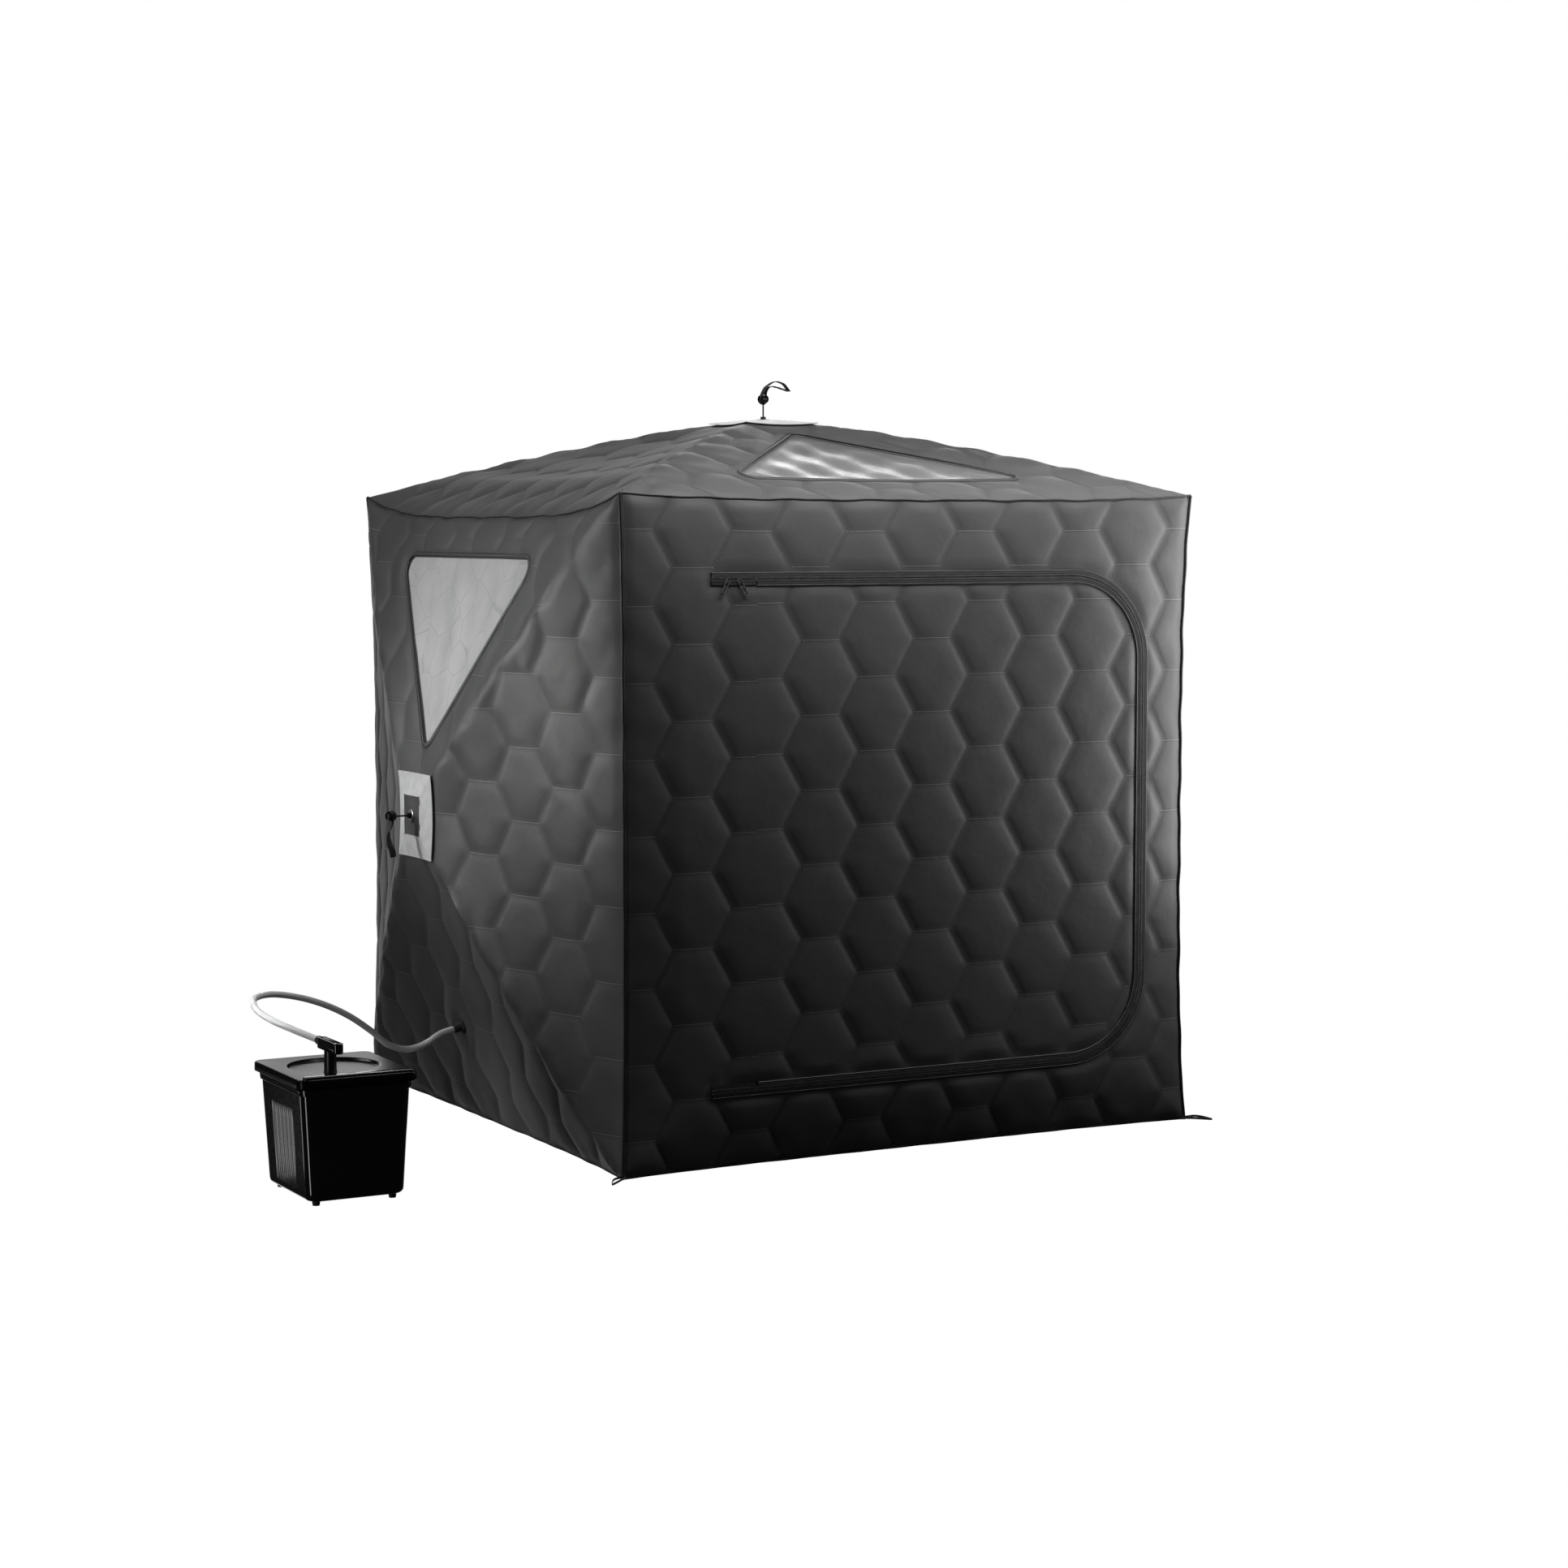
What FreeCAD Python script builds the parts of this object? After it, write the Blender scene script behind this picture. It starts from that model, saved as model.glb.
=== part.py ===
# Portable steam sauna: a pop-up hub tent, a steam generator beside it and the hose between them.
# Frame: origin at the middle of the tent's footprint on the floor, +X right along the front,
# +Y towards the back, +Z up. The front wall is at -Y. Lengths are in millimetres.
import FreeCAD, Part
import math
import os
import Sketcher
from types import SimpleNamespace

V = FreeCAD.Vector

# Driving dimensions: the cells of the sheet that every size below is bound to.
DIMENSIONS = {
    "TentSize": 1800, "WallThick": 12, "Bulge": 222, "HubFlat": 60,
    "WindowTop": 728, "WindowTip": 185, "WindowHalf": 480, "WindowCorner": 34,
    "FilmDepth": 5, "FilmThick": 1.2,
    "DoorFold": -500, "ZipRight": 738, "ZipTop": 1575, "ZipBottom": 210, "ZipCorner": 235, "ZipEnd": -636,
    "TapeHalf": 15.5, "SlitHalf": 1.2, "TapeThick": 2.5, "TapeDepth": 2, "FoldGap": 0.5,
    "StopLong": 39, "StopHalf": 18, "StopThick": 1.2,
    "SliderRest": -587, "SliderPitch": 30, "SliderLong": 22, "SliderWide": 11,
    "TabLong": 48, "TabWide": 10, "TabThick": 1.4, "TabSplay": 28,
    "SocketSize": 40, "PivotInset": 60, "PoleRadius": 4.75, "CupRadius": 11, "CupBore": 8.5, "CupDeep": 14,
    "BracketRadius": 50, "BracketDepth": 40, "SlotWide": 13, "SlotRoof": 11, "PoleEnd": 36, "PoleDown": 22,
    "PatchHalf": 120, "PatchThick": 1.5, "PlateThick": 2.5, "WasherRadius": 19, "WasherThick": 3,
    "KnobRadius": 8, "KnobHigh": 8, "RodRadius": 2.5, "RodLong": 35, "ShankRadius": 3.5, "NutRadius": 5.5,
    "NutHigh": 5, "BallRadius": 17, "GrooveRadius": 11, "GrooveWide": 22, "PinRadius": 5.25,
    "StrapLong": 100, "StrapWide": 20, "StrapOuter": 8.25, "StrapThick": 2, "RoofStrapRise": 22,
    "LoopLong": 88, "LoopWide": 26, "LoopBand": 6, "LoopThick": 3,
    "SteamerX": -1615, "SteamerY": -682, "BaseLong": 262, "BaseDeep": 318, "RimLong": 294, "RimDeep": 334,
    "FootHigh": 12, "FootRadius": 11, "RimHigh": 303, "TankWall": 3.5, "SteamerCorner": 28, "GasketThick": 3,
    "InletLong": 48, "InletDeep": 30, "InletTall": 26, "InletHigh": 60, "InletLip": 6, "InletMouth": 29,
    "LidLong": 324, "LidDeep": 364, "LidThick": 24, "DishRadius": 118, "DishDeep": 8,
    "DishShift": 12, "BarDeep": 22, "BarHigh": 7, "BarInset": 3,
    "HeaterRadius": 70, "HeaterTube": 4, "HeaterHigh": 24,
    "OutletX": -1655, "OutletY": -757, "PostRadius": 13, "PostHigh": 64, "ArmLong": 136, "ArmWide": 27,
    "ArmHigh": 24, "CouplingLong": 15, "CouplingRadius": 12, "HoseRadius": 9,
    "PortHigh": 290, "PortReach": 28, "PortFlange": 24, "FlangeThick": 3, "SpigotRadius": 13.5,
    "PortBore": 7,
}


class Size:
    """A length that knows both its number and its formula over the sheet's cells."""

    def __init__(self, number, formula=None):
        self.number = float(number)
        self.formula = formula or f"{self.number:g}"

    def join(self, sign, other, number):
        return Size(number, f"({self.formula} {sign} {other.formula})")

    def __add__(self, other):
        other = as_size(other)
        return self.join("+", other, self.number + other.number)

    def __sub__(self, other):
        other = as_size(other)
        return self.join("-", other, self.number - other.number)

    def __mul__(self, other):
        other = as_size(other)
        return self.join("*", other, self.number * other.number)

    def __truediv__(self, other):
        other = as_size(other)
        return self.join("/", other, self.number / other.number)

    def __radd__(self, other):
        return as_size(other) + self

    def __rsub__(self, other):
        return as_size(other) - self

    def __rmul__(self, other):
        return as_size(other) * self

    def __neg__(self):
        return as_size(0) - self

    def __float__(self):
        return self.number


def as_size(value):
    return value if isinstance(value, Size) else Size(value)


doc = FreeCAD.newDocument("PortableSteamSauna")
sheet = doc.addObject("Spreadsheet::Sheet", "Dims")
for row, (alias, value) in enumerate(DIMENSIONS.items(), start=1):
    sheet.set(f"A{row}", alias)
    sheet.set(f"B{row}", str(value))
    sheet.setAlias(f"B{row}", alias)
doc.recompute()
D = SimpleNamespace(**{alias: Size(sheet.get(alias), "Dims." + alias) for alias in DIMENSIONS})
HALF = D.TentSize / 2

# Document helpers -------------------------------------------------------------------------------


def bind(item, **sizes):
    """Binds properties of a document object to sizes."""
    for path, amount in sizes.items():
        item.setExpression(path, as_size(amount).formula)
    return item


def at(item, x=0, y=0, z=0):
    """Binds the place of an object."""
    for axis, amount in (("x", x), ("y", y), ("z", z)):
        item.setExpression("Placement.Base." + axis, as_size(amount).formula)
    return item


def turned(item, axis, degrees):
    """Turns an object about an axis through its own origin."""
    item.Placement = FreeCAD.Placement(V(), FreeCAD.Rotation(axis, degrees))
    return item


def box(name, length, width, height, x=0, y=0, z=0):
    """A box centred on x and y that stands on z."""
    item = bind(doc.addObject("Part::Box", name), Length=length, Width=width, Height=height)
    return at(item, as_size(x) - length / 2, as_size(y) - width / 2, z)


def cylinder(name, radius, height, x=0, y=0, z=0, axis=None, degrees=0):
    item = bind(doc.addObject("Part::Cylinder", name), Radius=radius, Height=height)
    if axis is not None:
        turned(item, axis, degrees)
    return at(item, x, y, z)


def wedge(name, low, high, base, top):
    """A tapered block along +Z. base and top are (lowest x, highest x, half its y) of its two ends."""
    item = bind(doc.addObject("Part::Wedge", name), Ymin=low, Ymax=high,
                Xmin=base[0], Xmax=base[1], Zmin=-as_size(base[2]), Zmax=base[2],
                X2min=top[0], X2max=top[1], Z2min=-as_size(top[2]), Z2max=top[2])
    return turned(item, V(1, 0, 0), 90)


def boolean(kind, name, base, tool):
    item = doc.addObject("Part::" + kind, name)
    item.Base = base
    item.Tool = tool
    return item


def fuse(name, *shapes):
    item = doc.addObject("Part::MultiFuse", name)
    item.Shapes = list(shapes)
    return item


def group(name, *shapes):
    """Identical pieces kept as separate solids in one node."""
    item = doc.addObject("Part::Compound", name)
    item.Links = list(shapes)
    return item


NODES = {}


def node(name, item, placement=None):
    """Names a finished sub-part, and puts it in its place where that isn't the origin."""
    item.Label = name
    if placement is not None:
        item.Placement = placement
    NODES[name] = item
    return item


# Sketches and bodies ----------------------------------------------------------------------------


def body_sketch(body, name, role="XY_Plane", offset=0):
    """A sketch on one of the body's own origin planes, moved along the plane's normal."""
    sketch = body.newObject("Sketcher::SketchObject", name)
    plane = [feature for feature in body.Origin.OriginFeatures if feature.Role == role][0]
    sketch.AttachmentSupport = [(plane, "")]
    sketch.MapMode = "FlatFace"
    sketch.setExpression("AttachmentOffset.Base.z", as_size(offset).formula)
    return sketch


def rule(sketch, kind, *values, size=None):
    """Adds a constraint, bound to a size where it has one."""
    numbers = values if size is None else (*values, float(size))
    index = sketch.addConstraint(Sketcher.Constraint(kind, *numbers))
    if size is not None:
        sketch.setExpression(f"Constraints[{index}]", as_size(size).formula)


def rounded_outline(sketch, left, right, bottom, top, corner, round_left=True):
    """A rectangle with round corners, or with square left corners."""
    l, r, b, t, c = (float(amount) for amount in (left, right, bottom, top, corner))
    first = sketch.GeometryCount
    k = c if round_left else 0
    sides = [((l + k, b), (r - c, b)), ((r, b + c), (r, t - c)),
             ((r - c, t), (l + k, t)), ((l, t - k), (l, b + k))]
    arcs = [((r - c, b + c), 270), ((r - c, t - c), 0)]
    if round_left:
        arcs += [((l + c, t - c), 90), ((l + c, b + c), 180)]
    for start, end in sides:
        sketch.addGeometry(Part.LineSegment(V(*start, 0), V(*end, 0)))
    for centre, start in arcs:
        circle = Part.Circle(V(*centre, 0), V(0, 0, 1), c)
        sketch.addGeometry(Part.ArcOfCircle(circle, math.radians(start), math.radians(start + 90)))
    for index in range(4):
        side, arc, following = first + index, first + 4 + index, first + (index + 1) % 4
        if index < len(arcs):
            rule(sketch, "Tangent", side, 2, arc, 1)
            rule(sketch, "Tangent", arc, 2, following, 1)
        else:
            rule(sketch, "Coincident", side, 2, following, 1)
    for index in range(1, len(arcs)):
        rule(sketch, "Equal", first + 4, first + 4 + index)
    for side, direction in enumerate(("Horizontal", "Vertical", "Horizontal", "Vertical")):
        rule(sketch, direction, first + side)
    rule(sketch, "DistanceX", -1, 1, first + 3, 1, size=left)
    rule(sketch, "DistanceX", -1, 1, first + 1, 1, size=right)
    rule(sketch, "DistanceY", -1, 1, first, 1, size=bottom)
    rule(sketch, "DistanceY", -1, 1, first + 2, 1, size=top)
    rule(sketch, "Radius", first + 4, size=corner)
    return sketch


def pad(body, name, sketch, length, both=False, back=False):
    item = bind(body.newObject("PartDesign::Pad", name), Length=length)
    item.Profile = sketch
    item.SideType = "Symmetric" if both else "One side"
    item.Reversed = back
    return item


def plate(name, left, right, bottom, top, corner, thick, role="XY_Plane", offset=0, round_left=True,
          both=False, back=False):
    """A body that is one padded plate with a rounded outline."""
    body = doc.addObject("PartDesign::Body", name)
    sketch = body_sketch(body, name + "Outline", role, offset)
    rounded_outline(sketch, left, right, bottom, top, corner, round_left)
    pad(body, name + "Pad", sketch, thick, both, back)
    return body


# Tent walls -------------------------------------------------------------------------------------
# A hub wall is drawn lying down: its hem plane is z = 0, it bulges to +Z, and x points up the wall.
# Its four quarters slope from the hem square to the flat square under the hub plate.

WALL_TURNS = {
    "left": (V(0, 0, 1), V(0, 1, 0), V(-1, 0, 0)),
    "right": (V(0, 0, 1), V(0, -1, 0), V(1, 0, 0)),
    "back": (V(0, 0, 1), V(1, 0, 0), V(0, 1, 0)),
    "roof": (V(0, -1, 0), V(1, 0, 0), V(0, 0, 1)),
}
WALLS = {}
for wall, axes in WALL_TURNS.items():
    middle = axes[2] * float(HALF) + V(0, 0, float(HALF))
    WALLS[wall] = FreeCAD.Placement(middle, FreeCAD.Rotation(*axes, "ZXY"))

INNER = HALF - D.WallThick


def tent_shape(name, hem, shift):
    """The solid pyramid under a hub wall's surface, moved along the wall's normal by shift."""
    return wedge(name, as_size(shift), shift + D.Bulge, hem, (-D.HubFlat, D.HubFlat, D.HubFlat))


def window_block(name):
    """A three-cornered block with round corners, through the quarter above the hub."""
    body = doc.addObject("PartDesign::Body", name)
    sketch = body_sketch(body, name + "Outline", offset=-D.WallThick)
    top, tip, half, corner = (float(a) for a in (D.WindowTop, D.WindowTip, D.WindowHalf, D.WindowCorner))
    corners = [V(tip, 0, 0), V(top, half, 0), V(top, -half, 0)]
    for index in range(3):
        sketch.addGeometry(Part.LineSegment(corners[index], corners[(index + 1) % 3]))
    for index in range(3):
        rule(sketch, "Coincident", index, 2, (index + 1) % 3, 1)
    rule(sketch, "PointOnObject", 0, 1, -1)
    rule(sketch, "Symmetric", 1, 1, 1, 2, -1)
    rule(sketch, "DistanceX", -1, 1, 0, 1, size=D.WindowTip)
    rule(sketch, "DistanceX", -1, 1, 1, 1, size=D.WindowTop)
    rule(sketch, "DistanceY", -1, 1, 1, 1, size=D.WindowHalf)
    block = pad(body, name + "Pad", sketch, D.Bulge + D.WallThick)
    doc.recompute()
    upright = [f"Edge{index}" for index, edge in enumerate(block.Shape.Edges, start=1)
               if abs(edge.tangentAt(edge.FirstParameter).z) > 0.99]
    fillet = body.newObject("PartDesign::Fillet", name + "Corners")
    fillet.Base = (block, upright)
    bind(fillet, Radius=D.WindowCorner)
    return body


def port_line(name, radius, start, length):
    """A cylinder square to the left wall's lower quarter, on the line of the hose port."""
    slope = math.degrees(math.atan2(float(D.Bulge), float(HALF - D.HubFlat)))
    item = bind(doc.addObject("Part::Cylinder", name), Radius=radius, Height=length)
    turn = FreeCAD.Rotation(V(0, 1, 0), -slope)
    foot = V(float(D.PortHigh - HALF), 0, float(D.PortHigh * D.Bulge / (HALF - D.HubFlat)))
    item.Placement = FreeCAD.Placement(foot + turn.multVec(V(0, 0, float(start))), turn)
    return item


def hub_wall(wall, window):
    """A quilted hub wall with its hub hole and, where it has one, its window."""
    floor_side = -HALF if wall != "roof" else -INNER
    hem = (-HALF, HALF, HALF)
    lining = (floor_side, INNER, INNER)
    outside = tent_shape(wall + "Outside", hem, as_size(0))
    border = wedge(wall + "Border", -D.WallThick, 0, lining, hem)
    inside = tent_shape(wall + "Inside", lining, -D.WallThick)
    hole = cylinder(wall + "HubHole", D.ShankRadius, D.Bulge * 2)
    tools = [inside, hole]
    if window:
        tools.append(window_block(wall + "WindowHole"))
    if wall == "left":
        tools.append(port_line("PortHole", D.HoseRadius * 1.5, -D.PortFlange, D.PortFlange * 2))
    skin = fuse(wall + "Skin", outside, border)
    shape = boolean("Cut", wall + "Wall", skin, fuse(wall + "Tools", *tools))
    node("roof" if wall == "roof" else wall + "_wall", shape, WALLS[wall])
    if window:
        upper = tent_shape(wall + "FilmFront", lining, -D.FilmDepth)
        lower = tent_shape(wall + "FilmBack", lining, -D.FilmDepth - D.FilmThick)
        sheet_of_film = boolean("Cut", wall + "Film", upper, lower)
        film = boolean("Common", wall + "Window", window_block(wall + "WindowShape"), sheet_of_film)
        node(wall + "_window", film, WALLS[wall])


for wall in WALLS:
    hub_wall(wall, window=wall in ("left", "roof"))

# Front wall and door --------------------------------------------------------------------------
# The doorway follows the zip: straight top and bottom runs, round right corners, and the fold
# line of the flap as its left side. The zip runs on past the fold to its end patches.


def door_shape(name, grow, left, near, thick):
    """A plate in the front wall with the doorway's outline, grown by grow, near its outer face."""
    return plate(name, left, D.ZipRight + grow, D.ZipBottom - grow, D.ZipTop + grow, D.ZipCorner + grow,
                 thick, role="XZ_Plane", offset=HALF - near, round_left=False, back=True)


def run_strip(name, half, left, right, near, thick):
    """Two level strips along the zip's top and bottom runs."""
    strips = []
    for key, height in (("Top", D.ZipTop), ("Bottom", D.ZipBottom)):
        strips.append(box(name + key, right - left, thick, half * 2, (left + right) / 2,
                          near + thick / 2 - HALF, height - half))
    return strips


front = bind(doc.addObject("Part::Wedge", "FrontPanel"), Xmin=-HALF, Xmax=HALF, Zmin=0, Zmax=D.TentSize,
             X2min=-INNER, X2max=INNER, Z2min=0, Z2max=D.TentSize - D.WallThick, Ymin=-HALF, Ymax=-INNER)
doorway = door_shape("Doorway", D.TapeHalf, D.DoorFold, -D.WallThick, D.WallThick * 3)
tape_ways = run_strip("TapeWay", D.TapeHalf, D.ZipEnd, D.DoorFold, -D.WallThick, D.WallThick * 3)
node("front_wall", boolean("Cut", "FrontWall", front, fuse("FrontHoles", doorway, *tape_ways)))

flap_left = D.DoorFold + D.FoldGap
node("door_panel", door_shape("DoorPanel", -D.TapeHalf, flap_left, as_size(0), D.WallThick))

tape_outside = fuse("TapeOutside", door_shape("TapeRim", D.TapeHalf, D.DoorFold, D.TapeDepth, D.TapeThick),
                    *run_strip("TapeRun", D.TapeHalf, D.ZipEnd, D.DoorFold, D.TapeDepth, D.TapeThick))
tape_slit = fuse("TapeSlit", door_shape("SlitRim", D.SlitHalf, D.DoorFold, as_size(0), D.WallThick),
                 *run_strip("SlitRun", D.SlitHalf, D.ZipEnd + D.TapeThick, D.DoorFold, as_size(0),
                            D.WallThick))
node("zip_tape_wall", boolean("Cut", "TapeWall", tape_outside, tape_slit))
node("zip_tape_door", boolean("Cut", "TapeDoor",
                              door_shape("FlapTape", -D.SlitHalf, flap_left, D.TapeDepth, D.TapeThick),
                              door_shape("FlapEdge", -D.TapeHalf, flap_left, as_size(0), D.WallThick)))

stops = []
for key, height in (("Top", D.ZipTop), ("Bottom", D.ZipBottom)):
    stops.append(box("ZipStop" + key, D.StopLong, D.StopThick, D.StopHalf * 2, D.ZipEnd + D.StopLong / 2 - 2,
                     -HALF - D.StopThick / 2, height - D.StopHalf))
node("zip_end_stops", group("ZipStops", *stops))

# Sliders: a front and a back plate joined by a post that runs in the slit, and an arch for the tab.
TAPE_FRONT = -HALF + D.TapeDepth
TAPE_BACK = TAPE_FRONT + D.TapeThick
PLATE_GAP = as_size(0.4)
PLATE = as_size(2)
ARCH_THICK = as_size(1.4)
ARCH_LONG = as_size(8)
ARCH_REACH = as_size(5)
PLATE_FACE = TAPE_FRONT - PLATE_GAP - PLATE
TAB_PIVOT_Y = PLATE_FACE - D.TabThick - 0.6
PIVOT_HIGH = D.ZipTop - 0.5


def slider(key, x):
    """A zip slider and its pull tab, at x on the zip's top run."""
    low = D.ZipTop - D.SliderWide / 2
    face = box(key + "Face", D.SliderLong, PLATE, D.SliderWide, x, PLATE_FACE + PLATE / 2, low)
    rear = box(key + "Rear", D.SliderLong, PLATE, D.SliderWide, x, TAPE_BACK + PLATE_GAP + PLATE / 2, low)
    post = box(key + "Post", D.SliderLong / 3, D.TapeThick + PLATE_GAP * 2 + PLATE, 1.6,
               x, (TAPE_FRONT + TAPE_BACK) / 2, D.ZipTop - 0.8)
    arch = box(key + "Arch", 2.4, ARCH_REACH, ARCH_LONG, x, PLATE_FACE - ARCH_REACH / 2,
               D.ZipTop - ARCH_LONG / 2)
    hollow = box(key + "Hollow", 4, ARCH_REACH - ARCH_THICK, ARCH_LONG - ARCH_THICK * 2, x,
                 PLATE_FACE - (ARCH_REACH - ARCH_THICK) / 2, D.ZipTop - ARCH_LONG / 2 + ARCH_THICK)
    bridge = boolean("Cut", key + "Bridge", arch, hollow)
    return fuse(key + "Slider", face, rear, post, bridge)


def tab(key, x, splay):
    """A pull tab that hangs from the slider's arch by the bar at the top of its window."""
    blade = plate(key + "Blade", -D.TabWide / 2, D.TabWide / 2, D.TabThick / 2 - D.TabLong, D.TabThick / 2,
                  D.TabWide / 5, D.TabThick, role="XZ_Plane", both=True)
    window = box(key + "Window", D.TabWide * 0.76, D.TabThick * 3, D.TabWide * 0.8,
                 0, 0, -D.TabThick / 2 - D.TabWide * 0.8)
    piece = boolean("Cut", key + "Tab", blade, window)
    turn = FreeCAD.Rotation(V(0, 1, 0), splay)
    return piece, FreeCAD.Placement(V(float(x), float(TAB_PIVOT_Y), float(PIVOT_HIGH)), turn)


for key, x, side in (("a", D.SliderRest, 1), ("b", D.SliderRest + D.SliderPitch, -1)):
    node("zip_slider_" + key, slider("Zip" + key.upper(), x))
    piece, place = tab("Zip" + key.upper(), x, side * float(D.TabSplay))
    node("pull_tab_" + key, piece, place)

# Frame: hubs, poles and corner sockets ----------------------------------------------------------

APEX = D.Bulge
SEAT = APEX - D.WallThick
POLE_LEVEL = SEAT - D.PoleDown
PIVOT = HALF - D.WallThick - D.PivotInset
PIVOT_LEVEL = -D.WallThick - D.SocketSize / 2
DIAGONALS = {"a": (1, 1), "b": (1, -1), "c": (-1, 1), "d": (-1, -1)}


def hub_bracket(wall):
    """A moulded disc with a cross of slots, open to the inside, that the four poles end in."""
    body = doc.addObject("PartDesign::Body", wall + "Bracket")
    sketch = body_sketch(body, wall + "BracketOutline", offset=SEAT)
    sketch.addGeometry(Part.Circle(V(), V(0, 0, 1), float(D.BracketRadius)))
    sketch.addGeometry(Part.Circle(V(), V(0, 0, 1), float(D.ShankRadius)))
    rule(sketch, "Coincident", 0, 3, -1, 1)
    rule(sketch, "Coincident", 1, 3, -1, 1)
    rule(sketch, "Radius", 0, size=D.BracketRadius)
    rule(sketch, "Radius", 1, size=D.ShankRadius)
    pad(body, wall + "BracketDisc", sketch, D.BracketDepth, back=True)
    slots = []
    for key, degrees in (("One", 45), ("Two", 135)):
        slot = bind(doc.addObject("Part::Box", wall + "Slot" + key), Length=D.BracketRadius * 3,
                    Width=D.SlotWide, Height=D.BracketDepth)
        turn = FreeCAD.Rotation(V(0, 0, 1), degrees)
        corner = V(-1.5 * float(D.BracketRadius), -float(D.SlotWide) / 2,
                   float(SEAT - D.SlotRoof - D.BracketDepth))
        slot.Placement = FreeCAD.Placement(turn.multVec(corner), turn)
        slots.append(slot)
    return boolean("Cut", wall + "BracketCut", body, fuse(wall + "Slots", *slots))


def hub_patch(wall):
    """The square patch over the hub: a sloping fabric border and a flat rubberised square."""
    drop = (D.PatchHalf - D.HubFlat) * D.Bulge / (HALF - D.HubFlat)
    wide = (-D.PatchHalf, D.PatchHalf, D.PatchHalf)
    flat = (-D.HubFlat, D.HubFlat, D.HubFlat)
    upper = wedge(wall + "PatchUpper", APEX - drop + D.PatchThick, APEX + D.PatchThick, wide, flat)
    skirt = wedge(wall + "PatchSkirt", APEX - drop, APEX - drop + D.PatchThick, wide, wide)
    lower = wedge(wall + "PatchLower", APEX - drop, APEX, wide, flat)
    square = box(wall + "PatchSquare", D.HubFlat * 2, D.HubFlat * 2, D.PlateThick, 0, 0, APEX)
    border = boolean("Cut", wall + "PatchBorder", fuse(wall + "PatchSolid", upper, skirt), lower)
    whole = fuse(wall + "PatchWhole", border, square)
    return boolean("Cut", wall + "Patch", whole, cylinder(wall + "PatchHole", D.ShankRadius, D.Bulge * 2))


STEM_FOOT = APEX + D.PlateThick
EYE_LEVEL = STEM_FOOT + D.WasherThick + D.KnobHigh + D.RodLong + D.BallRadius
# The strap turns between these two directions: the rest of the ball's groove is closed.
GROOVE_START, GROOVE_OPEN = 15, 273


def strap_ball(wall, turn):
    """A ball with a groove round a pin, open on the side that the strap swings through."""
    ball = bind(doc.addObject("Part::Sphere", wall + "Ball"), Radius=D.BallRadius)
    rounds = []
    for key, radius in (("Opening", D.BallRadius + 1), ("Groove", D.GrooveRadius), ("Pin", D.PinRadius)):
        item = bind(doc.addObject("Part::Cylinder", wall + key), Radius=radius, Height=D.GrooveWide)
        turned(item, V(1, 0, 0), 90)
        rounds.append(at(item, 0, D.GrooveWide / 2, 0))
    opening, groove, pin = rounds
    opening.Angle = GROOVE_OPEN
    opening.Placement = FreeCAD.Placement(V(), FreeCAD.Rotation(V(0, 1, 0), GROOVE_START)) * opening.Placement
    at(opening, 0, D.GrooveWide / 2, 0)
    shell = boolean("Cut", wall + "BallShell", ball, fuse(wall + "BallRoom", opening, groove))
    eye = fuse(wall + "Eye", shell, pin)
    eye.Placement = FreeCAD.Placement(V(0, 0, float(EYE_LEVEL)), FreeCAD.Rotation(V(0, 0, 1), turn))
    return eye


def hub_bolt(wall, turn):
    """Washer, knob, rod and ball on one line, and the clamped shank and nut inside."""
    body = doc.addObject("PartDesign::Body", wall + "Stem")
    sketch = body_sketch(body, wall + "StemProfile", "XZ_Plane")
    nut_top = SEAT - D.SlotRoof
    washer_top = STEM_FOOT + D.WasherThick
    profile = [(0, nut_top - D.NutHigh), (D.NutRadius, None), (None, nut_top), (D.ShankRadius, None),
               (None, STEM_FOOT), (D.WasherRadius, None), (None, washer_top), (D.KnobRadius, None),
               (None, washer_top + D.KnobHigh), (D.RodRadius, None),
               (None, EYE_LEVEL - (D.BallRadius + D.GrooveRadius) / 2), (0, None)]
    points = []
    radius, level = profile[0]
    for next_radius, next_level in profile:
        radius = radius if next_radius is None else next_radius
        level = level if next_level is None else next_level
        points.append((as_size(radius), as_size(level)))
    count = len(points)
    for index in range(count):
        start, end = points[index], points[(index + 1) % count]
        ends = [V(float(radius), float(level), 0) for radius, level in (start, end)]
        sketch.addGeometry(Part.LineSegment(*ends))
    for index in range(count):
        rule(sketch, "Coincident", index, 2, (index + 1) % count, 1)
        rule(sketch, "DistanceY", -1, 1, index, 1, size=points[index][1])
        if float(points[index][0]) == 0:
            rule(sketch, "PointOnObject", index, 1, -2)
        else:
            rule(sketch, "DistanceX", -1, 1, index, 1, size=points[index][0])
    lathe = body.newObject("PartDesign::Revolution", wall + "StemTurned")
    lathe.Profile = sketch
    lathe.ReferenceAxis = (sketch, ["V_Axis"])
    lathe.Angle = 360
    return fuse(wall + "Bolt", body, strap_ball(wall, turn))


def pull_strap(wall, turn, rise):
    """A sewn webbing loop round the ball's pin. It points down the wall, or up from the roof by rise."""
    body = doc.addObject("PartDesign::Body", wall + "Strap")
    sketch = body_sketch(body, wall + "StrapOutline", "XZ_Plane")
    for radius in (D.StrapOuter, D.StrapOuter - D.StrapThick):
        rounded_outline(sketch, -D.StrapLong - radius, radius, -radius, radius, radius - 0.01)
    pad(body, wall + "StrapPad", sketch, D.StrapWide, both=True)
    place = FreeCAD.Placement(V(0, 0, float(EYE_LEVEL)), FreeCAD.Rotation(V(0, 0, 1), turn)
                              * FreeCAD.Rotation(V(0, 1, 0), rise))
    return body, place


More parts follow.
